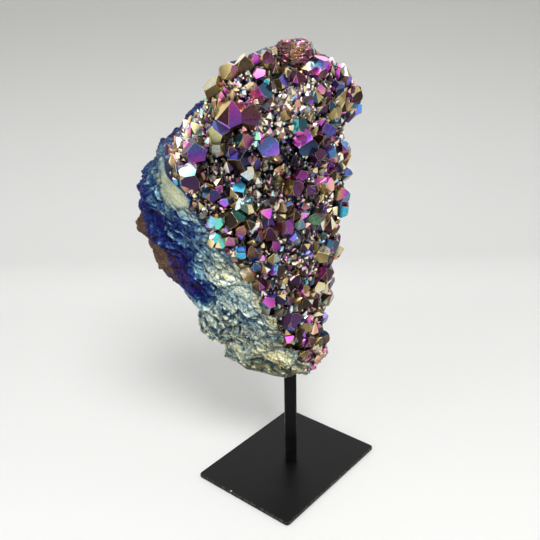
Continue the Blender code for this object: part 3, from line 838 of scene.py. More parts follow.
def crystalBody(radius, smallBack, footDepth, draw, chamfer=0.0):
    # a six-sided prism cut by six end planes, and by narrow planes between those if it has a chamfer
    made = crystalShape
    count = made["sides"]
    slope = math.radians(made["endSlope"])
    top = made["endsFrom"] * radius + radius * math.tan(slope)
    angle = np.radians(360.0 / count * np.arange(count))
    flat = np.stack((np.cos(angle), np.sin(angle), 0 * angle), axis=1)
    cut = flat * math.sin(slope) + (0, 0, math.cos(slope))
    back = radius * draw.uniform(-made["uneven"], made["uneven"], count)
    back[1::2] += smallBack * radius
    ends = (top + back - made["setDown"] * radius) * math.cos(slope)
    normals = np.concatenate((flat, cut, ((0, 0, -1),)))
    offsets = np.concatenate((np.full(count, radius), ends, (footDepth,)))
    points = insidePoints(normals, offsets, radius)
    if chamfer:
        between, reach = edgePlanes(points, normals, offsets, radius, chamfer)
        normals = np.concatenate((normals, between))
        offsets = np.concatenate((offsets, reach))
        points = insidePoints(normals, offsets, radius)
    faces, kinds = [], []
    for side in range(len(normals)):
        on = np.flatnonzero(onPlanes(points, normals[side], offsets[side], radius))
        # the foot is unseen and stays open
        if len(on) < 3 or side == made["foot"]:
            continue
        # Corners in order round the face, by their angle about its middle. The fixed direction is one
        # that no face looks along.
        middle = points[on].mean(axis=0)
        across = np.cross(normals[side], (0.37, 0.59, 0.71))
        around = np.cross(normals[side], across)
        turn = np.arctan2((points[on] - middle) @ around, (points[on] - middle) @ across)
        faces.append(on[np.argsort(turn)])
        kinds.append(min(side, made["edge"]))
    return points, faces, kinds


def aim(azimuth, elevation, turn):
    # the turn of a crystal whose point looks this way
    lean = Matrix.Rotation(math.radians(90 - elevation), 3, "X")
    face = Matrix.Rotation(math.radians(azimuth), 3, "Z")
    return np.array(face @ lean @ Matrix.Rotation(math.radians(turn), 3, "Z"))


# The skin that crystals stand on: levels, places from the left rim to the right side and how many, over how
# many places the feet sink deeper, and the y that is still in front.
faceGrid = {"levels": 240, "places": (-1.6, 3.35, 100), "roundOver": 0.6, "frontOf": 8.0}


def faceSkin():
    # points of the crystal face and their outward directions; high on the left it runs round to the back
    heights = np.linspace(sections[0][0], sections[-1][0], faceGrid["levels"])
    places = np.linspace(*faceGrid["places"])
    grid = skinGrid(heights, places)
    out = unit(np.cross(np.gradient(grid, axis=1), np.gradient(grid, axis=0)))
    kept = places[None, :] > firstPlace(heights)
    sunk = crystalEdge["sunk"] + crystalEdge["sunkRound"] * rise(-places, 0, faceGrid["roundOver"])
    return (grid - sunk[None, :, None] * out)[kept], out[kept]


def nearestSkin(skin, x, z):
    # the point of the skin nearest to x and z, but none round at the back
    behind = np.where(skin[:, 1] < faceGrid["frontOf"], 0.0, 1e6)
    return np.argmin((skin[:, 0] - x) ** 2 + (skin[:, 2] - z) ** 2 + behind)


# Crystals: x and z of the foot, radius across the flats, degrees round to the right, degrees up, turn
# about its own length, how far the small end faces stand back, then the films of the end faces from
# the turn onwards: three names for the large faces, or six for all. "a to b" runs from tip to foot.
# Of the words, dim paints shade onto a face, bright paints light, and flash paints a flash of reflected
# light.
largeCrystals = (
    (-36, 292, 9.5, 5, 45, 295, 0.05, "magenta to violet, pink, gold, gold, gold bright, burgundy dim"),
    (-24, 291, 8.0, 25, 45, 245, 0.5,
     "bronze to burgundy, purple, brown, brown, magenta to yellow flash, orange bright"),
    (-43, 304, 7.5, 0, 25, 140, 0.5, "silver to gold, gold, gold dim, brown, yellow, gold"),
    (-34, 313, 7.0, 10, 40, 185, 0.3, "yellow to gold, gold, magenta to gold, brown, silver to gold, gold"),
    (-26, 320, 6.0, 0, 45, 270, 0.45, "brown, bronze, gold, gold, yellow bright, brown"),
    (-14, 321, 5.0, 5, 60, 40, 0.4, "navy, blue, gold, gold, burgundy, purple"),
    (-20, 321, 4.2, 0, 45, 295, 0.2, "magenta bright, violet, yellow, silver, purple, pink bright"),
    (-18, 311, 5.0, -20, 0, 80, 0.5, "magenta to orange bright, yellow, gold, navy dim, navy dim, pink"),
    (-17, 302, 6.5, -15, 35, 250, 0.5,
     "violet to orange bright, violet, azure dim, azure, gold, yellow bright"),
    (-8, 315, 3.6, 0, 50, 90, 0.2, "silver dim, purple, brown"),
    (-6, 308, 5.0, -5, 25, 120, 0.4, "azure, sky, yellow, pale, violet, violet"),
    (-3, 313, 3.7, 5, 40, 200, 0.3, "gold, yellow bright, silver"),
    (4, 310, 5.0, 0, 40, 80, 0.3, "burgundy, purple, purple, magenta, burgundy, brown"),
    (18, 315, 6.6, 20, 25, 75, 0.4,
     "pink to magenta flash, orange bright, burgundy to yellow, burgundy, violet to pink bright, yellow"),
    (17, 311, 5.5, 0, 0, 110, 0.2,
     "pink to violet flash, pink flash, magenta to azure bright, yellow, burgundy, azure flash"),
    (33, 311, 3.2, 60, 40, 165, 0.2, "pink bright, magenta, gold"),
    (31, 310, 3.8, 5, 40, 230, 0.2, "magenta bright, purple dim, gold, gold, orange, orange"),
    (19, 302, 3.7, 0, 40, 145, 0.4, "silver flash, pale, magenta to gold bright, gold, azure dim, azure dim"),
    (29, 303, 4.5, 10, 15, 180, 0.4, "violet, magenta, azure, blue, navy, purple"),
    (42, 296, 5.0, 35, 30, 255, 0.4, "brown dim, brown dim, gold dim, gold, gold, gold to yellow"),
    (43, 288, 4.5, 45, 30, 210, 0.45,
     "azure to magenta flash, purple, violet, gold, yellow to magenta bright, pale"),
    (27, 288, 5.0, 10, 35, 220, 0.3, "yellow, gold, gold to orange, brown, teal dim, yellow"),
    (5, 295, 3.1, 0, 45, 270, 0.2, "orange bright, gold, brown"),
    (-4, 290, 4.3, 5, 35, 230, 0.2, "gold, brown, pink bright"),
    (25, 293, 3.8, 5, 45, 55, 0.2, "teal, gold, azure dim"),
    (4, 283, 5.5, 0, 35, 215, 0.5, "cyan to violet flash, silver, teal dim, navy dim, brown, purple"),
    (23, 278, 6.5, -5, 35, 300, 0.45,
     "violet to teal, teal dim, teal dim, silver dim, violet, magenta to yellow flash"),
    (9, 270, 8.4, 25, 20, 145, 0.5,
     "violet to magenta flash, cyan to violet flash, navy dim, navy dim, burgundy dim, magenta flash"),
    (18, 271, 5.5, 20, 25, 200, 0.3, "brown dim, brown dim, burgundy, brown, bronze dim, gold"),
    (-12, 268, 8.5, 25, 0, 135, 0.5, "violet to teal dim, purple, pale, yellow, teal dim, brown dim"),
    (33, 263, 4.6, -10, 45, 250, 0.3, "purple, violet, blue bright, azure, violet, purple"),
    (35, 258, 5.5, 50, 20, 230, 0.5, "yellow, gold, violet, azure, azure, gold"),
    (16, 260, 6.5, 5, 0, 60, 0.3, "burgundy dim, brown, purple, brown, azure dim, brown dim"),
    (26, 260, 6.0, 20, 0, 140, 0.5, "azure to magenta, gold, pale bright, gold, teal dim, violet"),
    (6, 252, 5.5, 5, 30, 295, 0.5, "magenta, burgundy, brown dim, brown dim, magenta dim, magenta"),
    (28, 247, 4.5, 20, 35, 240, 0.2, "brown dim, gold, pink bright, pink, pink to magenta flash, magenta"),
    (36, 244, 5.5, 60, 5, 140, 0.3, "azure, teal dim, gold, gold, teal dim, pale bright"),
    (23, 241, 6.0, 5, 20, 115, 0.5, "teal to yellow flash, orange, gold bright, orange, pink flash, magenta"),
    (0, 244, 7.0, 5, 35, 200, 0.4, "gold dim, brown, purple, magenta, burgundy, yellow"),
    (12, 241, 4.6, -15, 30, 305, 0.3, "purple, violet, burgundy, gold, brown, brown"),
    (33, 229, 7.0, 45, 25, 35, 0.3, "teal dim, navy dim, magenta to burgundy, burgundy, teal, azure"),
    (-44, 281, 7.0, 15, 0, 80, 0.5, "violet to azure dim, gold, yellow bright, gold, gold dim, brown"),
    (-57, 270, 7.5, 5, 45, 280, 0.5, "azure to magenta, gold, silver, gold, navy to burgundy, burgundy"),
    (-59, 257, 8.0, 15, 15, 125, 0.4,
     "sky to silver flash, yellow, purple dim, burgundy, burgundy dim, pink"),
    (-44, 271, 5.0, 15, 30, 225, 0.3, "silver, gold, gold, orange, brown, silver"),
    (-37, 270, 4.3, -5, 40, 310, 0.3, "purple, violet, gold, azure bright, azure, azure"),
    (-30, 276, 6.0, 5, 35, 200, 0.2, "azure, gold, orange, burgundy, brown, burgundy"),
    (-32, 264, 7.5, 5, 15, 115, 0.5, "azure, violet, brown dim, brown, navy dim, azure"),
    (-26, 257, 5.5, 30, 40, 220, 0.4, "yellow to pale bright, gold, gold, gold, brown, yellow"),
    (-55, 257, 3.0, 20, 45, 255, 0.2, "pink, gold, burgundy"),
    (-50, 246, 5.5, 10, 30, 55, 0.3, "burgundy, magenta, blue, gold, navy, purple"),
    (-45, 248, 3.1, 40, 40, 205, 0.3, "magenta, gold, brown, yellow bright, burgundy, gold"),
    (-32, 246, 5.0, 25, 0, 110, 0.5, "teal to violet bright, violet, purple dim, burgundy, brown dim, gold"),
    (-26, 236, 5.5, 15, 15, 115, 0.5, "sky to silver flash, pale, yellow bright, gold, brown dim, teal"),
    (-42, 240, 3.7, 25, 35, 225, 0.4, "azure to magenta flash, violet, gold, magenta, pink, violet"),
    (-36, 228, 6.5, 20, 0, 55, 0.5, "teal, green, brown dim, bronze, gold dim, gold"),
    (-5, 217, 6.5, 10, 45, 215, 0.4, "burgundy, magenta, violet, azure, violet, purple"),
    (16, 220, 6.0, 0, 30, 20, 0.4, "brown, gold, teal dim, magenta, green, purple"),
    (1, 225, 4.6, 10, 30, 295, 0.2, "brown dim, orange, pink, gold, gold dim, brown"),
    (-14, 215, 6.0, 0, 40, 35, 0.2, "burgundy, brown, pink, orange, purple dim, brown"),
    (34, 219, 6.0, 40, 20, 100, 0.5, "burgundy, magenta, teal to violet bright, gold, gold, teal"),
    (8, 229, 3.3, -10, 30, 180, 0.3, "cyan to violet flash, pink, gold"),
    (-48, 226, 5.0, 5, 35, 195, 0.5,
     "sky to silver flash, azure, cyan flash, magenta, yellow to magenta flash, pink"),
    (-50, 215, 3.8, 25, 45, 280, 0.5, "cyan flash, pink, silver bright, gold, silver flash, brown"),
    (-22, 214, 4.5, 5, 40, 200, 0.2, "purple, navy, burgundy, orange, magenta dim, brown"),
    (-32, 219, 4.5, 25, 45, 235, 0.3, "orange, brown, gold, yellow, bronze, gold"),
    (1, 210, 4.6, 5, 50, 230, 0.5, "azure to magenta flash, silver flash, navy dim, teal, brown, brown"),
    (-12, 205, 4.6, 0, 50, 200, 0.3, "burgundy dim, burgundy, magenta, magenta, purple, burgundy"),
    (-26, 204, 5.5, -5, 45, 285, 0.3, "burgundy, azure dim, brown, gold, magenta dim, magenta"),
    (26, 197, 6.0, 20, 35, 195, 0.4, "azure dim, violet, blue dim, magenta, purple dim, violet"),
    (30, 195, 4.9, 55, 40, 235, 0.3, "burgundy, magenta dim, brown, gold, yellow, burgundy"),
    (21, 192, 6.0, 30, 10, 95, 0.5, "yellow to pale bright, gold, gold, silver bright, yellow, gold"),
    (31, 189, 5.5, 55, 20, 170, 0.4, "yellow, gold dim, purple"),
    (-33, 204, 4.5, 30, 10, 115, 0.5, "cyan to violet flash, violet, azure bright, teal, magenta, gold"),
    (-28, 188, 5.5, 15, 20, 140, 0.2,
     "pale bright, yellow bright, gold bright, gold, orange bright, yellow bright"),
    (-24, 193, 3.9, -10, 45, 305, 0.2, "blue, navy, navy, violet, blue dim, blue"),
    (22, 177, 6.5, 15, 35, 195, 0.2, "magenta, burgundy, burgundy dim, purple, purple, violet to magenta"),
    (25, 163, 5.5, 25, 30, 195, 0.5, "magenta, gold, purple, purple, magenta to gold bright, pink"),
    (-11, 189, 5.5, 10, 35, 195, 0.5, "azure to pink flash, magenta, brown dim, gold, azure, silver"),
    (17, 168, 5.5, 10, 40, 55, 0.4, "azure dim, navy dim, burgundy, gold, yellow to pale bright, yellow"),
    (-22, 179, 4.7, 0, 45, 240, 0.2, "brown, magenta, magenta, pink, purple, gold"),
    (8, 169, 4.1, 0, 45, 200, 0.3, "magenta, pink bright, gold, violet, silver, magenta"),
    (-14, 167, 5.5, 25, 30, 95, 0.5,
     "azure to magenta flash, pink flash, magenta bright, orange, brown dim, azure"),
    (8, 169, 3.4, 0, 45, 240, 0.3, "purple, magenta, gold"),
    (-2, 149, 7.0, 15, 45, 190, 0.4, "purple dim, burgundy, purple, magenta, navy, blue dim"),
    (-3, 163, 4.1, 10, 45, 195, 0.2, "blue, violet, burgundy, brown, azure dim, blue"),
    (24, 153, 6.5, 40, 30, 180, 0.2, "brown, gold, silver, gold, gold dim, gold"),
    (9, 159, 5.5, -5, 35, 285, 0.3, "brown dim, silver bright, gold dim, orange, brown, bronze"),
    (8, 165, 4.2, -15, 40, 250, 0.4, "magenta, violet, pink bright, gold, magenta, orange"),
    (3, 156, 4.2, 10, 45, 195, 0.4, "silver flash, yellow bright, brown, cyan, orange, pink bright"),
    (21, 138, 5.0, 60, 30, 145, 0.3, "violet, blue, navy, orange, azure, violet"),
    (10, 139, 5.0, 25, 35, 220, 0.4, "gold, gold, brown, orange, azure to pink flash, yellow bright"),
    (-2, 131, 4.2, 30, 45, 180, 0.2, "magenta to pink bright, gold, silver, brown, magenta, burgundy"),
    (22, 121, 5.0, 60, 35, 350, 0.4, "azure dim, purple, blue, brown, brown, violet"),
    (11, 126, 5.0, 5, 45, 210, 0.3, "magenta, purple, burgundy, brown, pink, violet"),
    (23, 112, 3.7, 45, 45, 170, 0.2, "pink, gold, magenta, gold, yellow bright, orange"),
    (10, 118, 4.3, 20, 45, 225, 0.2, "gold dim, burgundy, brown, purple, purple, gold"),
    (5, 113, 4.0, 0, 40, 190, 0.3, "burgundy dim, magenta bright, purple"),
    (8, 106, 3.8, 15, 30, 220, 0.2, "magenta bright, burgundy, gold"),
    (16, 112, 4.0, 20, 35, 170, 0.3, "burgundy, gold bright, purple dim"),
)

# Films that a smaller crystal's faces draw from, with how often each comes: in shade, and catching light.
shadeChoice = {
    "gold": 14, "bronze": 9, "brown": 13, "burgundy": 8, "purple": 5, "navy": 5, "blue": 3, "teal": 4,
    "magenta": 3, "violet": 2, "silver": 8, "yellow": 9, "orange": 6, "pale": 5,
}
lightChoice = {
    "pale": 14, "yellow": 14, "gold": 9, "orange": 7, "pink": 7, "magenta": 4, "violet": 3, "azure": 4,
    "cyan": 2, "silver": 10,
}
# How much painted light the words give a face of a large crystal (dim gives painted shade), and a face
# without such a word.
glowWords = {"dim": -0.3, "bright": 0.62, "flash": 1.15}
plainGlow = 0.1
# Random faces: the range of the glow in light and in shade, and how far the film at the foot strays from
# the tip's, the fade of the glow strays from none, and films run sideways.
faceDraw = {"inLight": (0.65, 1.25), "inShade": (-0.6, 0.25), "stray": 0.10, "fade": 0.4, "sideways": 0.9}
# The foot is unseen, and an edge is a painted highlight, a line of pale pinkish gold. The columns are
# drawFaces' columns.
edgeHighlightFilms = np.array(((0.0, 0.0, 0.0, 0.0, 0.0), (0.60, 0.56, 0.3, 0.0, 0.0)))


def readFaces(text):
    # "a to b bright" becomes two films and a glow
    rows = []
    for words in (part.split() for part in text.split(",")):
        names = [filmNames[word] for word in words if word in filmNames]
        glow = next((glowWords[word] for word in words if word in glowWords), plainGlow)
        rows.append((names[0], names[-1], glow))
    return np.array(rows)


def drawFilms(choice, count, draw):
    # films picked at random, each as often as its share says
    share = np.array(list(choice.values()), float)
    return draw.choice([filmNames[name] for name in choice], count, p=share / share.sum())


def drawFaces(draw, litShare=0.3):
    # the looks of six faces at random, in five columns: film at the tip, film at the foot, glow, how the
    # glow fades to the foot, and how far the films run sideways
    made = faceDraw
    count = crystalShape["sides"]
    lit = draw.uniform(0, 1, count) < litShare
    tip = np.where(lit, drawFilms(lightChoice, count, draw), drawFilms(shadeChoice, count, draw))
    foot = tip + draw.normal(0, made["stray"], count)
    glow = np.where(lit, draw.uniform(*made["inLight"], count), draw.uniform(*made["inShade"], count))
    fade = draw.normal(0, made["fade"], count)
    sideways = draw.uniform(-made["sideways"], made["sideways"], count)
    return np.stack((tip, foot, glow, fade, sideways), axis=1)


def sideFilms(draw):
    # prism faces are mostly in shade
    rows = drawFaces(draw)
    rows[:, 2] *= crystalShape["sideGlow"]
    return rows


class CrystalHeap:
    # collects crystals and turns them into one mesh
    def __init__(self):
        self.points, self.corners, self.sizes = [], [], []
        self.film, self.glow, self.tall = [], [], []
        self.total = 0

    def add(self, body, turn, foot, films, skinPoint, skinOut):
        # The film runs evenly across each face, from tip to foot or to one side.
        points, faces, kinds = body
        placed = points @ turn.T + foot
        self.points.append(placed)
        self.tall.append((placed - skinPoint) @ skinOut)
        reach = points[:, 2].max()
        size = np.ptp(points[:, 0])
        for face, kind in zip(faces, kinds):
            tip, low, glow, fade, sideways = films[kind]
            spot = points[face]
            # 0 at the tip and about 1 at the foot of an end face; from about -1/2 to 1/2 across it
            down = (reach - spot[:, 2]) / (0.75 * size)
            middle = spot.mean(axis=0)
            across = ((spot - middle) @ np.array((-middle[1], middle[0], 0.0))) / (0.5 * size * size)
            part = (1 - abs(sideways)) * down + sideways * (across + 0.5)
            self.corners.append(face + self.total)
            self.sizes.append(len(face))
            self.film.append(tip + (low - tip) * part)
            self.glow.append(np.clip(glow + fade * (part - 0.5), -0.9, 1))
        self.total += len(points)

    def piece(self, name, material):
        data = {"film": np.concatenate(self.film), "glow": np.concatenate(self.glow)}
        return meshPiece(
            name, np.concatenate(self.points), np.concatenate(self.corners), np.array(self.sizes),
            material, False, cornerData=data, pointData={"tall": np.concatenate(self.tall)},
        )


def largeCrystalPiece(skin, out, material):
    # each large crystal as its row says; with three faces named, the small ones between stay random
    made = crystalShape
    draw = np.random.default_rng(made["seed"])
    heap = CrystalHeap()
    lift = made["largeLift"]
    for x, z, radius, azimuth, elevation, turn, smallBack, text in largeCrystals:
        near = nearestSkin(skin, x, z)
        foot = skin[near] + lift * out[near]
        body = crystalBody(radius, smallBack, radius + made["largeDeeper"] + lift, draw, made["edgeWidth"])
        given = readFaces(text)
        ends = drawFaces(draw)
        if len(given) == 3:
            ends[::2] = np.pad(given, ((0, 0), (0, 2)))
            ends[1::2, 2] *= made["smallGlow"]
        else:
            ends[:, :3] = given
        ends[:, 1] += draw.normal(0, made["stray"], made["sides"])
        ends[:, 3] = draw.normal(0, made["fade"], made["sides"])
        ends[:, 4] *= made["sideways"]
        films = np.concatenate((sideFilms(draw), ends, edgeHighlightFilms))
        heap.add(body, aim(azimuth, elevation, turn), foot, films, skin[near], out[near])
    return heap.piece("large_crystals", material)


# The crystals that fill the face between the large ones. A row for each piece: radius from, radius to, how
# many, how close together, how far off the skin from and to, and the share of end faces in light.
fill = {
    "medium_crystals": (2.6, 5.4, 460, 0.56, -1.0, 1.2, 0.27),
    "small_crystals": (1.3, 2.9, 1000, 0.60, 0.0, 1.3, 0.38),
    "druse": (0.6, 1.2, 5200, 0.70, 0.1, 0.9, 0.45),
    # places tried for each crystal wanted; the share of a crystal's own radius in the room it needs, and
    # of a large one's in the room it takes
    "seed": 7, "tries": 8, "ownRoom": 0.35, "largeRoom": 0.95,
    # radii crowd to the small end by this power; a crystal points out of the skin, drawn upwards and to a
    # side by these shares
    "fewLarge": 1.8, "looksUp": 0.75, "spread": 0.33,
    # how deep a foot goes, in radii: druse stands higher off the skin, so its feet are longer
    "footDepth": 1.7, "druseDepth": 5.2,
    # how far the three small end faces stand back, and how many crystals are cut to each
    "smallBack": (-0.04, 0.04, 0.12, 0.26), "repeats": 6, "edgeShare": 0.022,
    # no crystal grows lower than this height and twice its radius; and how much painted light they gain for
    # each
    # 100 mm above half way up
    "lowest": 100.0, "upperPaintedLight": 0.14, "halfWay": 215.0,
}
# Frosty patches near the top, where the fine points, whose radii are below "fine", stand higher and paler:
# middle x and z, half sizes, and the share of medium crystals kept out.
frost = {
    "patches": ((-8.0, 291.0, 22.0, 17.0, 0.8), (-27.0, 308.0, 11.0, 9.0, 0.0)),
    "fine": 3.0, "lift": 1.8, "glow": 0.22,
}


def frostAt(x, z):
    # how frosty a place is, and the chance that a medium crystal is kept out
    shares = [(softPatch(x, z, *patch[:4]), patch[4]) for patch in frost["patches"]]
    return max(share for share, kept in shares), max(share * kept for share, kept in shares)


def fillCrystals(name, skin, out, placed, bodies, draw, material):
    # tries places at random and keeps clear of the crystals placed so far, given as x, y, z and radius
    made = fill
    low, high, most, apart, fromSkin, toSkin, litShare = made[name]
    fine = high < frost["fine"]
    heap = CrystalHeap()
    count = 0
    for pick in draw.integers(len(skin), size=most * made["tries"]):
        radius = low + (high - low) * draw.uniform() ** made["fewLarge"]
        x, y, z = skin[pick]
        frosty, keptOut = frostAt(x, z)
        if z < made["lowest"] + 2 * radius or (name == "medium_crystals" and draw.uniform() < keptOut):
            continue
        reach = np.hypot(np.hypot(placed[:, 0] - x, placed[:, 2] - z), placed[:, 1] - y)
        if (reach < apart * (made["ownRoom"] * radius + placed[:, 3])).any():
            continue
        placed = np.vstack((placed, (x, y, z, radius)))
        normal = out[pick]
        way = normal + (0, 0, made["looksUp"]) + draw.normal(0, made["spread"], 3)
        azimuth = math.degrees(math.atan2(way[0], -way[1]))
        elevation = math.degrees(math.atan2(way[2], math.hypot(way[0], way[1])))
        points, faces, kinds = bodies[draw.integers(len(bodies))]
        films = np.concatenate((sideFilms(draw), drawFaces(draw, litShare), edgeHighlightFilms))
        foot = skin[pick] + normal * (draw.uniform(fromSkin, toSkin) + frost["lift"] * frosty * fine)
        films[:, 2] += frost["glow"] * frosty + made["upperPaintedLight"] * (z - made["halfWay"]) / 100
        turn = aim(azimuth, elevation, draw.uniform(0, 360))
        heap.add((points * radius, faces, kinds), turn, foot, films, skin[pick], normal)
        count += 1
        if count >= most:
            break
    print(name, count)
    return heap.piece(name, material), placed


def fillPieces(skin, out, crystalCoat, druseCoat):
    # medium crystals among the large ones, small ones among both, and druse wherever it falls
    draw = np.random.default_rng(fill["seed"])
    backs = np.tile(fill["smallBack"], fill["repeats"])
    bodies = [crystalBody(1.0, back, fill["footDepth"], draw) for back in backs]
    edged = [crystalBody(1.0, back, fill["footDepth"], draw, fill["edgeShare"]) for back in backs]
    placed = np.array([
        (*skin[nearestSkin(skin, x, z)], radius * fill["largeRoom"]) for x, z, radius, *rest in largeCrystals
    ])
    medium, placed = fillCrystals("medium_crystals", skin, out, placed, edged, draw, crystalCoat)
    small, placed = fillCrystals("small_crystals", skin, out, placed, bodies, draw, druseCoat)
    for points, faces, kinds in bodies:
        points[points[:, 2] < 0.01 - fill["footDepth"], 2] = -fill["druseDepth"]
    # one point far below the stone, so that druse keeps clear of nothing but druse
    farBelow = np.array([(0.0, 0.0, -100.0, 1.0)])
    druse, placed = fillCrystals("druse", skin, out, farBelow, bodies, draw, druseCoat)
    return medium, small, druse


# Crusted knobs without flat faces: middle (x, y, z), half sizes, how far their right end is tipped up,
# film at their left and right, the film of their big flakes, and how much painted light they get.
knobs = {
    "top_knob": ((3, -24, 324), (12.5, 9, 8.5), 0.0, 0.62, 0.69, 0.12, -0.03),
    "low_knob": ((14, -19, 105), (14, 7, 5), 38.0, 0.61, 0.69, 0.65, 0.16),
}
# Their crust: rings with the two ends, points round, size and depth of the warp, the lumps and the flakes,
# how flat small flakes lie, and the lines between flakes.
crust = {
    "levels": 150, "around": 260, "warpSize": 3.0, "warp": 1.2, "lumpSize": 6.0, "lumpDepth": 1.5,
    "bigSize": 7.0, "bigDepth": 1.3, "smallSize": 3.0, "smallDepth": 0.5, "flatter": 1.9,
    "lineWidth": 0.10, "lineDepth": 0.6, "smallLine": 0.5,
    # how far a big flake stands out as a whole, beside its lean; the random number above which it has the
    # film of big flakes, how much small flakes change the film, and small and big ones the glow
    "bigStep": 0.6, "ownFilm": -0.55, "filmStray": 0.03, "glowStray": (0.18, 0.12), "glowRange": (-0.5, 1.0),
    # small flakes whose random number is above the first of these flash with painted light, by the second
    "flash": (0.8, 0.6),
    # what the coat takes for their height above the skin, and how much lower the lines seem, so that they get
    # the painted shade of the gaps
    "tall": 9.0, "lineLow": 6.5,
}


def knobPiece(name, material):
    # a ball stretched to its half sizes and broken into leaning flakes of two sizes: the points are
    # (sin up cos turn, sin up sin turn, cos up), and the two ends come last
    middle, half, tipUp, leftFilm, rightFilm, bigFilm, lit = knobs[name]
    made = crust
    up = np.linspace(0, math.pi, made["levels"])[1:-1, None]
    turn = np.linspace(0, 2 * math.pi, made["around"], endpoint=False)
    ball = np.stack((np.sin(up) * np.cos(turn), np.sin(up) * np.sin(turn), np.cos(up) + 0 * turn), axis=-1)
    ball = np.concatenate((ball.reshape(-1, 3), ((0, 0, 1), (0, 0, -1))))
    tip = np.array(Matrix.Rotation(math.radians(-tipUp), 3, "Y"))
    spot = np.array(middle) + (np.array(half) * ball) @ tip.T
    bent = warped(spot, made["warpSize"], made["warp"], (5.0, 15.0, 25.0))
    bigGap, bigLean, bigMark = plates(bent, made["bigSize"])
    gap, lean, mark = plates(bent * (1.0, 1.0, made["flatter"]) + 50, made["smallSize"])
    bigLine, smallLine = (np.exp(-(width / made["lineWidth"]) ** 2) for width in (bigGap, gap))
    line = np.maximum(bigLine, made["smallLine"] * smallLine)
    lumps = made["lumpDepth"] * valueNoise(spot, made["lumpSize"])
    flakes = made["bigDepth"] * (bigLean + made["bigStep"] * bigMark) + made["smallDepth"] * (lean + mark)
    step = lumps + flakes - made["lineDepth"] * line
    side = np.clip(0.5 + 0.5 * ball[:, 0], 0, 1)
    film = np.where(bigMark > made["ownFilm"], bigFilm, leftFilm + (rightFilm - leftFilm) * side)
    (bySmall, byBig), (flashFrom, flash) = made["glowStray"], made["flash"]
    glow = lit + bySmall * mark + byBig * bigMark + flash * (mark > flashFrom)
    spot = spot + ball * step[:, None]
    corners, sizes = closedSkin(len(up), len(turn), goesDown=True)
    data = {
        "film": film + made["filmStray"] * mark, "glow": np.clip(glow, *made["glowRange"]),
        "tall": made["tall"] - made["lineLow"] * line,
    }
    return meshPiece(name, spot, corners, sizes, material, True, pointData=data)


crystalCoat = auraCrystalMaterial("titanium_aura_quartz", auraCrystal)
druseCoat = auraCrystalMaterial("titanium_aura_druse", auraDruse)
rockCoat = auraRockMaterial()
rock = rockPiece(rockCoat)
print("rock", len(rock.data.polygons))
skin, out = faceSkin()
large = largeCrystalPiece(skin, out, crystalCoat)
print("large_crystals", len(largeCrystals))
fills = fillPieces(skin, out, crystalCoat, druseCoat)
topKnob = knobPiece("top_knob", crystalCoat)
lowKnob = knobPiece("low_knob", druseCoat)
print("knobs", len(knobs))
for piece in (rock, large, *fills, topKnob, lowKnob):
    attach(piece, "root")
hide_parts("amethyst_cluster")
for name in ("post", "base_plate"):
    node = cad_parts[name]
    node.data.materials.clear()
    node.data.materials.append(blackPaintMaterial(name))
print("stand painted")


# A sheet of matt white paper, in metres: the floor, a bend of one radius that starts behind the stone and
# runs between two angles, and a leaning wall (y, z). The last number of each is how many points it has.
sweep = {
    "floor": ((-6.0, 0.0), (0.30, 0.0), 20), "bendRadius": 0.30, "bendAngles": (0.05, 1.5, 30),
    "wall": ((0.605, 0.35), (0.66, 2.4), 10), "across": (-6.0, 6.0, 9), "roughness": 0.7,
    # the paper's colour by height in metres: white on the floor, and darker up the wall as painted shade
    "paperShadedUp": [(0.0, "#F6F6F4"), (0.02, "#E4E4E2"), (0.33, "#B4B4B2")],
}


def sweepPiece():
    # the floor that curves up behind: a profile carried across, the bend (sin a, 1 - cos a)
    made = sweep
    angle = np.linspace(*made["bendAngles"])
    bend = made["bendRadius"] * np.stack((np.sin(angle), 1 - np.cos(angle)), axis=1) + made["floor"][1]
    profile = np.concatenate((np.linspace(*made["floor"]), bend, np.linspace(*made["wall"])))
    across = np.linspace(*made["across"])
    x, y = np.meshgrid(across, profile[:, 0])
    x, z = np.meshgrid(across, profile[:, 1])
    points = np.stack((x, y, z), axis=-1).reshape(-1, 3) / mm
    number = np.arange(x.size).reshape(x.shape)
    quads = np.stack((number[:-1, :-1], number[:-1, 1:], number[1:, 1:], number[1:, :-1]), axis=-1)
    material, tree, shader = newMaterial("paper_sweep")
    place = addNode(tree, "TexCoord").outputs["Object"]
    # painted shade: the paper darkens going up the wall
    height = addNode(tree, "SeparateXYZ", {}, {"Vector": place}).outputs["Z"]
    colour = addNode(tree, "ValToRGB", {"ramp": made["paperShadedUp"]}, {"Fac": height}).outputs["Color"]
    tree.links.new(colour, shader.inputs["Base Color"])
    shader.inputs["Roughness"].default_value = made["roughness"]
    sizes = np.full(quads.size // 4, 4)
    item = meshPiece("floor_sweep", points, quads.ravel(), sizes, material, True)
    item.visible_glossy = False
    return item


sweepPiece()

# Two soft round lamps that look at the stone: place, diameter in metres, watts.
lamps = {"key": ((160, -680, 1090), 0.5, 9.0), "fill": ((-700, -700, 500), 0.8, 2.5)}
lampTarget = (-20, 0, 180)


def areaLight(name):
    # a round lamp turned to look at the stone, and not seen itself
    place, size, watts = lamps[name]
    light = bpy.data.lights.new(name, "AREA")
    light.shape = "DISK"
    light.size = size
    light.energy = watts
    item = bpy.data.objects.new(name, light)
    bpy.context.scene.collection.objects.link(item)
    item.location = toPlate(np.array(place, float))
    look = toPlate(np.array(lampTarget, float)) - np.array(item.location)
    item.rotation_euler = Vector(look).to_track_quat("-Z", "Y").to_euler()
    item.visible_camera = False


for name in lamps:
    areaLight(name)

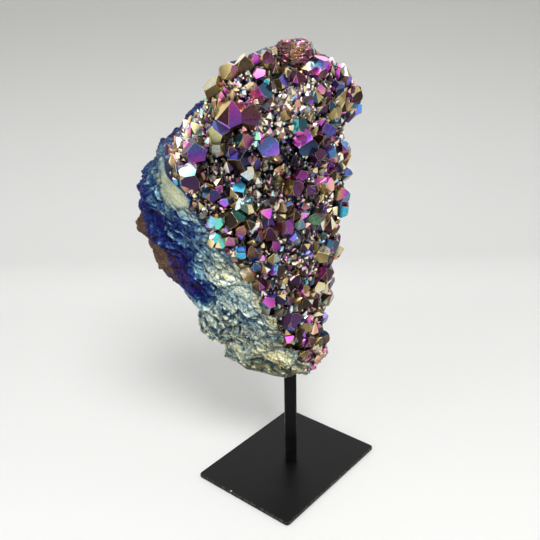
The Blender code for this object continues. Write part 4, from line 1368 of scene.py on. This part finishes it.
# A pale room, bright above and dimmer in front and below. Facets mirror it, with three soft windows: where
# each lies, the cosine of its half width, and its strength. Everything else is lit by one even colour.
room = {
    "walls": [(0.0, "#C8C8C8"), (0.35, "#B4B4B4"), (0.5, "#C0C0C0"), (0.65, "#DADADA"), (1.0, "#FFFFFF")],
    "windows": (
        ((0.25, -0.75, 0.62), 0.95, 0.6),
        ((-0.75, -0.25, 0.60), 0.95, 0.6),
        ((0.1, 0.25, 0.96), 0.92, 0.8),
    ),
    "windowEdge": 0.05, "mirrored": 1.9, "ambientColour": "#D8D8D8", "ambient": 0.75,
}


def studioWorld():
    # colour by how high the look goes, with the windows added where it points close to theirs
    world = bpy.data.worlds.new("studio_room")
    bpy.context.scene.world = world
    world.use_nodes = True
    tree = world.node_tree
    tree.nodes.clear()
    look = addNode(tree, "TexCoord").outputs["Generated"]
    height = addNode(tree, "SeparateXYZ", {}, {"Vector": look}).outputs["Z"]
    half = addNode(tree, "Math", {"operation": "MULTIPLY_ADD", 1: 0.5, 2: 0.5}, {0: height}).outputs[0]
    total = addNode(tree, "ValToRGB", {"ramp": room["walls"]}, {"Fac": half}).outputs["Color"]
    for way, edge, strength in room["windows"]:
        toward = tuple(turned(np.array(way)))
        near = addNode(
            tree, "VectorMath", {"operation": "DOT_PRODUCT", 1: toward}, {0: look}
        ).outputs["Value"]
        patch = addNode(
            tree, "MapRange", {"From Min": edge, "From Max": edge + room["windowEdge"], "To Max": strength},
            {"Value": near},
        ).outputs[0]
        total = addNode(
            tree, "MixRGB", {"blend_type": "ADD", "Fac": 1.0}, {"Color1": total, "Color2": patch}
        ).outputs["Color"]
    mirrored = addNode(tree, "Background", {"Strength": room["mirrored"]}, {"Color": total})
    ambient = addNode(
        tree, "Background", {"Color": hexColour(room["ambientColour"]), "Strength": room["ambient"]}
    )
    glossy = addNode(tree, "LightPath").outputs["Is Glossy Ray"]
    mix = addNode(tree, "MixShader", {}, {0: glossy, 1: ambient.outputs[0], 2: mirrored.outputs[0]})
    addNode(tree, "OutputWorld", {}, {"Surface": mix.outputs[0]})


studioWorld()

# Where the camera is, how far it looks down and rolls in degrees, its focal length and sensor, and the
# nearest thing it sees in metres.
view = {
    "place": (-13.9, -473.1, 368.0), "down": 22.65, "roll": -1.2,
    "lens": 46.9, "sensor": 36.0, "nearest": 0.01,
}


def studioCamera():
    # set down at its place and turned with the stone, then tilted down and rolled
    lens = bpy.data.cameras.new("camera")
    lens.lens = view["lens"]
    lens.sensor_width = view["sensor"]
    lens.clip_start = view["nearest"]
    camera = bpy.data.objects.new("camera", lens)
    bpy.context.scene.collection.objects.link(camera)
    camera.matrix_world = (
        Matrix.Translation(toPlate(np.array(view["place"])))
        @ Matrix.Rotation(math.radians(stoneTurn), 4, "Z")
        @ Matrix.Rotation(math.radians(90 - view["down"]), 4, "X")
        @ Matrix.Rotation(math.radians(view["roll"]), 4, "Z")
    )
    bpy.context.scene.camera = camera


studioCamera()
bpy.context.scene.view_settings.view_transform = "Standard"
print("studio ready")
